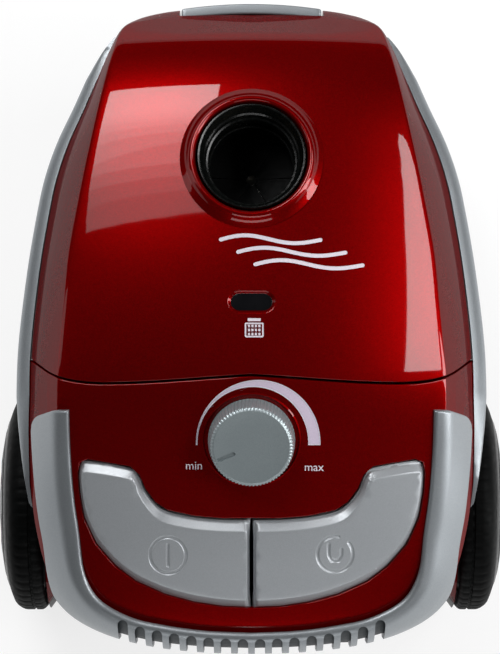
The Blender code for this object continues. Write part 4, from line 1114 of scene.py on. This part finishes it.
def make_bumper():
    first = u_at_y(-47)
    path = tail_path(first, 84)
    sections = []
    for u, side, place in path:
        share = tail_share(place)
        inset, foot = ease(-6.6, -4.2, share), ease(0.67, 1.25, share)
        low, high = ease(0.4, 2.2, share), ease(2.6, 4.97, share)
        flank = (raw(u, 0) - raw(u, 1)).length
        flank = ease(flank, (raw(u, 1) - raw(u, 2)).length, (foot - 0.95) / 0.25)
        edge_mm = min(place, 1 - place) * 560
        high = low + (high - low) * math.sqrt(max(0.02, 1 - max(0, 1 - edge_mm / 1.4) ** 2))
        foot -= 0.34 * (1 - math.sqrt(max(0, 1 - max(0, 1 - edge_mm / 9) ** 2)))
        lip = 1.6
        ws = [inset + lip * t for t in (0, 0.08, 0.3, 0.6, 1.0)]
        ws += [inset + lip + (-inset - lip) * t for t in (0.33, 0.66)]
        ws += [0.04, 0.1, 0.18, 0.3, 0.45, 0.6, 0.8, 1.0]
        ws = [w for w in ws if w < foot - lip / flank - 0.02]
        while len(ws) < 15:
            ws.append(ws[-1] + 0.3 * (foot - lip / flank - ws[-1]))
        ws += [foot - lip / flank * (1 - t) for t in (0, 0.4, 0.7, 0.92, 1.0)]
        outer, inner = [], []
        for w in ws:
            p, n = shoulder(u, w)
            near = (w - inset) / lip if w < 0 else (foot - w) * flank / lip
            raised = math.sqrt(max(0.0, 1 - (1 - min(max(near, 0), 1)) ** 2))
            outer.append(mirrored(p + n * (low + (high - low) * (0.12 + 0.88 * raised)), side))
            inner.append(mirrored(p + n * low, side))
        sections.append(outer + inner[::-1])
    bumper = ring_solid("bumper_trim", sections, SILVER, 40)
    inner_edge = sorted((section[0].x, section[0].y) for section in sections if section[0].y < -120)
    edge_x, edge_y = zip(*inner_edge)
    slots = []
    radius, rim_width = 2.8, 3.3
    for x in SLOTS:
        crown = float(np.interp(x, edge_x, edge_y)) - rim_width
        turns = [math.pi * a / 12 for a in range(13)]
        arch = [(x + radius * math.cos(a), crown - radius + radius * math.sin(a)) for a in turns]
        slots.append(arch + [(x - radius, -195), (x + radius, -195)])
    carve(bumper, prisms(slots, 90, 168))
    finish_piece(bumper, "body", "satin_silver", "rear_bumper")


def make_exhaust_grille():
    """The screen behind the bumper's slots, in a dark grey that paints the shade falling behind them."""
    start = bisect(lambda u: along("wide", u).x > 80, 0.5, 0.99)
    sections = []
    levels = [-3.4, -1.6, 0] + [1.2 * k / 14 for k in range(1, 15)]
    for u, side, _ in tail_path(start, 50):
        outer, inner = [], []
        for k, level in enumerate(levels):
            p, n = shoulder(u, level)
            outer.append(mirrored(p + n * (1.7 if k % 2 else 1.25), side))
            inner.append(mirrored(p + n * 0.4, side))
        sections.append(outer + inner[::-1])
    grille = ring_solid("exhaust_screen", sections, SCREEN_PAINTED_SHADE, 30)
    slits = []
    for x in SLOTS:
        if abs(x) < 58:
            slits.append([(x - 1.4, 117), (x + 1.4, 117), (x + 1.4, 132), (x - 1.4, 132)])
    upright = BODY @ Matrix.Rotation(math.radians(90), 4, "X")
    carve_flat(grille, prisms(slits, 150, 190, upright))
    finish_piece(grille, "body", "satin_silver", "exhaust_grille")


def make_rail(side, label):
    start, end = u_at_y(160), u_at_y(-90)
    count, sections = 110, []
    for k in range(count + 1):
        place = k / count
        u = start + (end - start) * place
        taper = min(1.0, 0.45 + place / 0.2) * min(1.0, (1 - place) / 0.22) * 0.88 + 0.12
        wide, out = along("wide", u), -inward(u)
        crease_z = raw(u, 0).z
        low_z = wide.z - 4 - 9 * taper
        high_z = min(rim(wide.y) - 0.2, wide.z - 3 + 9.7 * taper)
        peak = (high_z - wide.z - 1.5) / (high_z - low_z)
        cap = math.sqrt(max(0.03, 1 - max(0, 1 - min(place, 1 - place) * 260 / 1.5) ** 2))
        outer, inner = [], []
        steps = 18
        for m in range(steps + 1):
            t = m / steps
            t -= 0.045 * math.sin(2 * math.pi * t)
            z = high_z + (low_z - high_z) * t
            if z > wide.z:
                level = 1 - (z - wide.z) / (crease_z - wide.z)
            else:
                level = 1 + (wide.z - z) / (wide.z - SKIRT_Z)
            p = raw(u, level)
            p = Vector((p.x, p.y, z)) + out * 0.5
            if t < peak:
                bulge = math.sin(math.pi / 2 * t / peak)
            else:
                bulge = 1 - 0.75 * ((t - peak) / (1 - peak)) ** 2
            lip = math.sqrt(max(0.0, 1 - max(0, 1 - min(t, 1 - t) / 0.06) ** 2))
            outer.append(mirrored(p + out * (lip + 4.6 * bulge * taper * (0.3 + 0.7 * lip)) * cap, side))
            inner.append(mirrored(p, side))
        sections.append(outer + inner[::-1])
    rail = ring_solid(f"rail_trim_{label}", sections, SILVER, 50)
    finish_piece(rail, "body", "satin_silver", f"side_rail_{label}")


def latch_front(x):
    """The bowed front of the latch's lever, seen from above."""
    return LATCH_FRONT_Y - LATCH_BOW * (x / LATCH_HALF) ** 2


def latch_steps(half, count):
    return [-half + 2 * half * k / count for k in range(count + 1)]


def make_latch():
    """The lever's plate, with its rounded lip, and the arm and hook behind it."""
    half, count, sections = LATCH_HALF, 44, []
    stations = [-half, -half + 0.2, -half + 0.6, -half + 1.2]
    stations += [-half + 1.2 + (2 * half - 2.4) * k / count for k in range(1, count)]
    stations += [half - 1.2, half - 0.6, half - 0.2, half]
    lip_z = LATCH_TOP - 4.2
    for x in stations:
        front = latch_front(x)
        inset = 1.2 - math.sqrt(max(0.0, 1.44 - max(0.0, 1.2 - (half - abs(x))) ** 2))
        corners = [(front - 5.6, lip_z), (front - 5.6, LATCH_TOP), (front, LATCH_TOP), (front, LATCH_FOOT),
                   (front - 3.6, LATCH_FOOT), (front - 3.6, lip_z)]
        outline = rounded_profile(corners, 1.1, 4)
        mid_y, mid_z = front - 1.8, (LATCH_TOP + LATCH_FOOT) / 2
        section = []
        for y, z in outline:
            dy = min(inset, abs(y - mid_y)) * (1 if y > mid_y else -1)
            dz = min(inset, abs(z - mid_z)) * (1 if z > mid_z else -1)
            section.append((x, y - dy, z - dz))
        sections.append(section)
    plate = ring_solid("latch_plate", sections, SILVER, 45)
    finish_piece(plate, "lid_latch", "satin_silver", "lid_latch")
    y = LATCH_Y
    brackets("latch_arm", "lid_latch", "satin_silver", SILVER, [
        ((-21.2, y - 3, 127.8), (-15, y + 6.4, 134.2)), ((15, y - 3, 127.8), (21.2, y + 6.4, 134.2)),
        ((-11, y - 5.8, 121.4), (11, y + 6.4, 125.4)), ((-10.6, y - 6.2, 110.2), (10.6, y - 3.2, 123)),
        ((-10.2, y - 4.8, 109.8), (10.2, y - 1.2, 112.2))])


# ---- port and window -----------------------------------------------------------------------------
def make_port():
    profile = [(22.5, -38), (25.3, -38), (25.5, -37.8), (25.5, -10), (28.3, -8), (28.5, -7.8), (28.5, 2.2),
               (28.4, 2.9), (28.1, 3.3), (27.7, 3.4), (27.2, 3.2), (26.6, 1.6), (25.6, -3.4), (25.2, -4.2),
               (24.5, -4.6), (24.3, -5.0), (24.2, -7.6), (23.9, -8.2), (23.0, -8.6), (22.7, -9.2),
               (22.5, -16), (22.5, -20), (21.9, -20.6), (21.9, -22.4), (22.5, -23)]
    socket = lathe("socket_tube", profile, SOCKET, BODY @ PORT, 144, smooth=35)
    finish_piece(socket, "lid", "black_plastic", "hose_socket")

    # A rubber flap valve in the bag's mouth, in the darkest tyre rubber: it is painted shade that turns the
    # bore black, standing in for the shadow deep in the tube.
    parts, rows = 6, 5
    points, faces = [], []
    for k in range(parts):
        start = len(points)
        a0, a1 = (2 * math.pi * (k + e) / parts for e in (0.012, 0.988))
        for face in (0, 1):
            for i in range(rows + 1):
                r = 23.4 - 20.6 * i / rows
                for j in range(7):
                    a = a0 + (a1 - a0) * j / 6
                    sag = 4.5 * (i / rows) ** 1.6 + (0.5 - abs(j / 6 - 0.5)) * 1.2 * i / rows
                    points.append((r * math.cos(a), r * math.sin(a), -42.6 - sag - face * 0.9))
        n = (rows + 1) * 7
        for face in (0, n):
            faces += [(start + face + i * 7 + j, start + face + i * 7 + j + 1, start + face + i * 7 + j + 8,
                       start + face + i * 7 + j + 7) for i in range(rows) for j in range(6)]
        rim_ids = ([i for i in range(7)] + [i * 7 + 6 for i in range(1, rows + 1)]
                   + [rows * 7 + j for j in range(5, -1, -1)] + [i * 7 for i in range(rows - 1, 0, -1)])
        faces += [(start + p, start + q, start + n + q, start + n + p)
                  for p, q in zip(rim_ids, rim_ids[1:] + rim_ids[:1])]
    valve = object_of("bag_valve_painted_shade", points, faces, TYRE, BODY @ PORT, 40)
    finish_piece(valve, "body", "rubber")


def make_window():
    """The smoked lens at the foot of a red chamfer."""
    s = Skin()
    s.patch(window_loop(-0.5, 48), [], 2.0, height=lambda x, y: top(x, y) - 1.5)
    s.close(wall=1.2, radius=0.25)
    finish_piece(s.build("window_lens", LENS), "lid", "lens", "indicator_window")

    def depth(x, y):
        """How far in from the chamfer's top edge, 0 to 1."""
        past = math.hypot(max(abs(x) - 6.0, 0), (y - 8.0) / 0.92)
        return min(max((6.4 - past) / 1.6, 0), 1)

    def height(x, y):
        return top(x, y) - 0.15 - 1.5 * depth(x, y) ** 1.4

    s = Skin()
    rings = [window_loop(grow, 64) for grow in (0.9, 0.5, 0.1)]
    s.patch(window_loop(1.2, 64), [window_loop(-0.4, 64)], 1.2, height, normal_of(height, 0.08), rings)
    s.close(wall=1.0, radius=0.2)
    finish_piece(s.build("window_chamfer", RED), "lid", "gloss_red")


# ---- running gear ----------------------------------------------------------------------------------
def make_wheels():
    for side, label in ((-1, "left"), (1, "right")):
        place = placed((0, WHEEL_Y, WHEEL_R), (side, 0, 0))
        lugs = 60

        def tread(angle, radius, height):
            if radius < 58.9:
                return 0.0
            phase = angle * lugs / (2 * math.pi) + (0.5 if height > 122.5 else 0)
            ramp = min(1.0, abs(((phase % 1.0) - 0.5) * 2) / 0.45)
            return -0.35 * (1 - ramp) ** 0.5 if 116.5 < height < 131 else 0.0

        tyre = [(50.5, 116.8), (56, 116.0), (57.6, 115.7), (58.9, 116.0), (60.2, 117.2), (60.9, 118.4),
                (61, 119.4), (61, 121.6), (60.3, 121.9), (60.3, 123.1), (61, 123.4), (61, 127.2),
                (60.8, 128.4), (60.2, 129.9), (59.4, 131.2), (58.4, 132.5), (57, 133.6), (54, 134.9),
                (51.2, 135.9), (50.5, 135.6)]
        piece = lathe(f"tread_{label}", tyre, TYRE, place, lugs * 8, tread, 32)
        finish_piece(piece, f"wheel_{label}", "tyre", f"tyre_{label}")

        disc = [(4.4, 118), (14, 118), (14.5, 118.6), (14.5, 124), (46.5, 124), (47, 118.6), (47.5, 118),
                (50.1, 118), (50.1, 135.8), (49.6, 136.4), (46.6, 137.7), (45.6, 137.8), (45.0, 137.4),
                (44.2, 137.4), (43.6, 137.9), (42.8, 138.8), (36, 140.1), (30, 141), (20, 141.7),
                (19.4, 141.6), (19.0, 141.0), (18.2, 141.0), (17.8, 141.5), (17.2, 141.95), (10, 142.25),
                (0.01, 142.3), (0.01, 139), (4.4, 139)]
        hub = lathe(f"hub_{label}", disc, BLACK, place, 120, smooth=30)
        pockets = []
        for k in range(6):
            mid = 60 * k
            pockets.append(arc(0, 0, 39.5, mid - 20, mid + 20, 12) + arc(0, 0, 23.5, mid + 15, mid - 15, 8))
        carve_flat(hub, prisms(pockets, 137.2, 150, place))
        finish_piece(hub, f"wheel_{label}", "black_plastic", f"wheel_{label}")

        cone = [(10, 92), (33, 92), (49, 106), (59.2, 113.4), (60, 114.0), (59.6, 114.2), (40, 114.2),
                (38, 113.2), (10, 113.2)]
        halves = (("upper", RED, "gloss_red", 80.2, 200), ("lower", DARK, "dark_plastic", -50, 79.8))
        for part, material, slot, low, high in halves:
            guard = lathe(f"wheel_guard_{part}_{label}", cone, material, place, 120, smooth=35)
            cut_plane(guard, low, high)
            finish_piece(guard, "body", slot)


def cut_plane(obj, low, high):
    """Keeps what lies between two heights, and closes it."""
    work = bmesh.new()
    work.from_mesh(obj.data)
    for z, up in ((low, -1), (high, 1)):
        everything = work.verts[:] + work.edges[:] + work.faces[:]
        result = bmesh.ops.bisect_plane(work, geom=everything, plane_co=(0, 0, z * MM),
                                        plane_no=(0, 0, up), clear_outer=True)
        edges = [e for e in result["geom_cut"] if isinstance(e, bmesh.types.BMEdge)]
        bmesh.ops.holes_fill(work, edges=edges)
    work.to_mesh(obj.data)
    work.free()


def make_caster():
    tread = [(2.0, -13), (2.0, -8.9), (9, -8.6), (11, -7.4), (13.6, -7.4), (14.6, -8.6), (16, -8.6),
             (17.4, -7.9), (18, -6.6), (18, -1.2), (17.3, -0.8), (17.3, 0.8), (18, 1.2), (18, 6.6),
             (17.4, 7.9), (16, 8.6), (14.6, 8.6), (13.6, 7.4), (11, 7.4), (9, 8.6), (2.0, 8.9), (2.0, 13),
             (0.01, 13), (0.01, -13)]
    wheel = lathe("caster_tread", tread, BLACK, placed((0, 114, 18), (1, 0, 0)), 96, smooth=30)
    finish_piece(wheel, "caster_wheel", "black_plastic", "caster_wheel")


# ---- tub --------------------------------------------------------------------------------------------
TUB_V = [0, 0.08, 0.2, 0.35, 0.5, 0.65, 0.8, 0.9, 1.0, 1.12, 1.3, 1.5, 1.7, 1.85, 2.0]
SCREWS = [(-84, -138), (84, -138), (-90, -20), (90, -20)]
GRIP = ((-42, 148, 66), (42, 190, 96))      # the space for the fingers in the nose
CASTER_Y = 122


def make_tub():
    def level(u, v):
        start = solve_v(u, rim(skin(u, 1.0).y) - 1.0, 0.3, 1.9)
        return start + (2 - start) * v if v <= 1 else 1 + v

    rows = strip_rows(TUB_V, level, None, 120)
    s = Skin()
    for row in rows:
        del row[-1]
    ids = [[s.vert(p, n) for p, n in row] for row in rows]
    for a, b in zip(ids, ids[1:]):
        for k in range(len(a)):
            s.face((a[k], a[(k + 1) % len(a)], b[(k + 1) % len(a)], b[k]))
    foot = [(p.x, p.y) for p, _ in rows[-1]]
    mouth, down = circle((0, CASTER_Y), 30.5, 72), Vector((0, 0, -1))
    s.patch(foot, [mouth], 7.0, height=lambda x, y: FLOOR_Z, normal=lambda x, y: down)
    s.close()
    tub = s.build("tub_shell", DARK)
    rear = [(x, parting(x) + 0.8) for x in range(-150, 151, 5)] + [(150, -230), (-150, -230)]
    carve(tub, prisms([rear], 79.7, 220))
    for side in (-1, 1):
        carve(tub, drum(66, (side * 114.4, WHEEL_Y, WHEEL_R), (side, 0, 0), 40))
    carve(tub, block(*GRIP))
    holes = [circle((x, y), 4.8, 28) for x, y in SCREWS]
    carve(tub, prisms(holes, 0, 26.5))
    carve(tub, drum(7.0, (50, -150, 60), (0, -1, 0), 40, 40))
    finish_piece(tub, "body", "dark_plastic", "base_housing")

    def boss(name, profile, place, steps):
        finish_piece(lathe(name, profile, DARK, place, steps), "body", "dark_plastic")

    cup = [(4.4, 42), (29.2, 42), (29.8, 41.8), (30, 41.2), (30, 22.9), (30.6, 22.9), (32.6, 24.8),
           (32.6, 44.6), (9, 44.6), (9, 56), (4.4, 56)]
    boss("caster_cup", cup, BODY @ Matrix.Translation((0, CASTER_Y, 0)), 96)
    grip = block((-44.6, 145.4, 63.4), (44.6, 168.5, 98.6))
    grip.name = "grip_pocket"
    grip.data.materials.clear()
    grip.data.materials.append(DARK)
    carve_flat(grip, block(*GRIP))
    finish_piece(rounded(grip, 0.8, 40), "body", "dark_plastic")
    post = [(4.8, 23.6), (6.4, 23.6), (6.4, 49), (2.4, 49), (2.4, 26.5), (4.8, 26.5)]
    for k, (x, y) in enumerate(SCREWS, 1):
        boss(f"screw_boss_{k}", post, BODY @ Matrix.Translation((x, y, 0)), 40)
    bearing = [(4.4, 92), (9, 92), (9, 112.0), (8.6, 112.5), (4.4, 112.5)]
    for side, label in ((-1, "left"), (1, "right")):
        boss(f"axle_boss_{label}", bearing, placed((0, WHEEL_Y, WHEEL_R), (side, 0, 0)), 48)
    keeper = ((-14, LATCH_Y + 2.2, 112.6), (14, LATCH_Y + 6.8, 115))
    brackets("latch_keeper", "body", "dark_plastic", DARK, [keeper])


# ---- dust bag -----------------------------------------------------------------------------------------
def make_dust_bag():
    """A plump fleece bag, blown up by cloth simulation, with gussets and sealed ends."""
    rings = [(64.5, 46, 52, 4), (67, 74, 63, 4), (76, 85, 68, 4), (89, 88, 69, 4), (103, 80, 65, 4),
             (112, 60, 56, 3), (123, 48, 48, 2.6), (139, 42, 44, 2.2), (148.6, 28, 30, 2)]
    steps = 56
    points, faces = [], []
    for z, half_x, half_y, power in rings:
        for k in range(steps):
            angle = 2 * math.pi * k / steps
            c, s = math.cos(angle), math.sin(angle)
            drift = (z - 100) * 0.14 if z > 100 else 0
            points.append((half_x * math.copysign(abs(c) ** (2 / power), c),
                           66 + drift + half_y * math.copysign(abs(s) ** (2 / power), s), z))
    for r in range(len(rings) - 1):
        a, b = r * steps, (r + 1) * steps
        faces += [(a + k, a + (k + 1) % steps, b + (k + 1) % steps, b + k) for k in range(steps)]
    faces += [tuple(range(steps)), tuple((len(rings) - 1) * steps + k for k in range(steps))]
    bag = object_of("bag_fleece", points, faces, FLEECE)
    remesh = bag.modifiers.new("remesh", "REMESH")
    remesh.mode, remesh.voxel_size = "VOXEL", 0.005
    apply_modifiers(bag)
    rest = [v.co.copy() for v in bag.data.vertices]
    cloth = bag.modifiers.new("cloth", "CLOTH")
    cloth.settings.use_pressure = True
    cloth.settings.uniform_pressure_force = 4
    cloth.settings.effector_weights.gravity = 0
    cloth.settings.quality = 5
    cloth.collision_settings.use_collision = False
    cloth.point_cache.frame_start, cloth.point_cache.frame_end = 1, 20
    for step in range(1, 21):
        scene.frame_set(step)
    apply_modifiers(bag)
    scene.frame_set(1)
    for v, start in zip(bag.data.vertices, rest):
        shift = v.co - start
        if shift.length > 0.005:
            v.co = start + shift.normalized() * 0.005
    subdivide = bag.modifiers.new("fine", "SUBSURF")
    subdivide.levels = subdivide.render_levels = 1
    apply_modifiers(bag)
    mesh = bag.data
    low, high = (Vector(c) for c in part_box("dust_bag"))
    for v in mesh.vertices:
        x, y, z = v.co / MM
        n = v.normal
        gusset = 5.0 * math.exp(-((z - 90) / 7) ** 2) * min(max((abs(x) - 60) / 15, 0), 1)
        crumple = noise.noise(Vector((x / 14, y / 11, z / 10))) * 1.6
        crumple += noise.noise(Vector((x / 5, y / 5, z / 5))) * 0.5
        creased = abs(noise.noise(Vector((x / 26 + 7, y / 18, z / 30)))) * 2.2
        v.co += (n * (crumple - creased - 0.4) - Vector((math.copysign(gusset, x), 0, 0))) * MM
        v.co = Vector([min(max(c, a + 0.0002), b - 0.0002) for c, a, b in zip(v.co, low, high)])
    mesh.shade_smooth()
    mesh.materials.clear()
    mesh.materials.append(FLEECE)
    finish_piece(bag, "body", "paper", "dust_bag")


# ---- camera, light and floor ----------------------------------------------------------------
def make_stage():
    camera = bpy.data.cameras.new("camera")
    camera.lens = 36 * 2715 / 654
    camera.sensor_width = 36
    camera.clip_end = 20
    eye = bpy.data.objects.new("camera", camera)
    scene.collection.objects.link(eye)
    tilt = math.radians(4.0)
    target = Vector((-0.0008, 0.0016, 0.120))
    eye.location = target + 1.5 * Vector((0, -math.sin(tilt), math.cos(tilt)))
    eye.rotation_euler = (tilt, 0, 0)
    scene.camera = eye

    def panel(name, at, aim, width, height, power, mirrored_in_gloss=True):
        light = bpy.data.lights.new(name, "AREA")
        light.shape = "RECTANGLE"
        light.size, light.size_y = width, height
        light.energy = power
        obj = bpy.data.objects.new(name, light)
        scene.collection.objects.link(obj)
        obj.location = at
        facing = (Vector(aim) - Vector(at)).normalized()
        obj.rotation_euler = facing.to_track_quat("-Z", "Y").to_euler()
        obj.visible_camera = False
        obj.visible_glossy = mirrored_in_gloss

    strips, key_depth, key_power = 16, 0.89, 22
    for k in range(strips):
        place = (k + 0.5) / strips
        y = 0.78 + (place - 0.5) * key_depth
        share = ease(0.2, 1.0, min(1, place / 0.6))
        power = key_power * share / strips
        panel(f"key_{k}", (-0.51, y, 1.25), (-0.51, y, 0), 0.715, key_depth / strips, power)
    panel("strip_right", (0.98, 0.17, 1.25), (0.98, 0.17, 0), 0.42, 0.99, 12)
    panel("side_left", (-1.9, -0.1, 0.75), (0, 0, 0.1), 0.5, 1.6, 3)
    panel("side_right", (1.9, -0.4, 0.75), (0, 0, 0.1), 0.5, 1.6, 24)
    panel("front_low", (0, 2.1, 0.62), (0, 0, 0.15), 1.6, 0.3, 17, mirrored_in_gloss=False)
    panel("tail_low", (0, -1.8, 0.8), (0, 0, 0.1), 1.6, 0.5, 8)

    world = bpy.data.worlds.new("studio")
    scene.world = world
    world.use_nodes = True
    world.node_tree.nodes["Background"].inputs["Color"].default_value = (0.9, 0.93, 1, 1)
    world.node_tree.nodes["Background"].inputs["Strength"].default_value = 0.02
    scene.view_settings.view_transform = "Standard"

    half = 7.0
    floor = bpy.data.meshes.new("floor")
    corners = [(-half, -half, 0), (half, -half, 0), (half, half, 0), (-half, half, 0)]
    floor.from_pydata(corners, [], [(0, 1, 2, 3)])
    ground = bpy.data.objects.new("floor", floor)
    scene.collection.objects.link(ground)
    ground.location.z = -0.0003
    pale = Nodes("pale_floor")
    pale.vary("Base Color", pale.noise(3, 2), grey(0.26), grey(0.28))
    pale.set(Roughness=0.9, Emission_Color=grey(1.0), Emission_Strength=0.74)
    floor.materials.append(pale.material)


make_stage()
make_lid()
make_rear_cover()
make_pedals()
make_knob()
make_prints()
make_bumper()
make_exhaust_grille()
for rail_side, rail_label in ((-1, "left"), (1, "right")):
    make_rail(rail_side, rail_label)
make_latch()
make_port()
make_window()
make_wheels()
make_caster()
make_tub()
make_dust_bag()

# CAD nodes that no piece stands for show their own solid in these; the rest are steel.
NODE_LOOKS = (
    (DARK, "base_housing bulkhead caster_fork switch_tray reel_frame bag_holder"),
    (BLACK, "caster_wheel hose_socket indicator_guide filter_grille power_switch reel_drum brake_lever"),
    (BLACK, "carbon_brush_left carbon_brush_right wheel_left wheel_right"),
    (TYRE, "tyre_left tyre_right"),
    (RUBBER, "socket_seal motor_seal motor_mount cord_gland"),
    (SILVER, "rear_bumper exhaust_grille side_rail_left side_rail_right lid_latch"),
    (KNOB_SILVER, "suction_knob"),
    (PEDAL_SILVER, "power_pedal rewind_pedal"),
    (RED, "lid rear_cover"),
    (PAPER, "dust_bag exhaust_filter"),
    (BOARD, "bag_collar"),
    (FOAM, "motor_filter"),
    (COPPER, "stator armature"),
    (ZINC, "impeller motor_frame fan_cover mainspring_case potentiometer"),
    (CIRCUIT, "control_board"),
    (LENS, "indicator_window"),
    (SIGNAL, "indicator_flag switch_plunger"),
)
looks = {name: material for material, names in NODE_LOOKS for name in names.split()}
for name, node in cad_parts.items():
    node.data.materials.clear()
    node.data.materials.append(looks.get(name, STEEL))
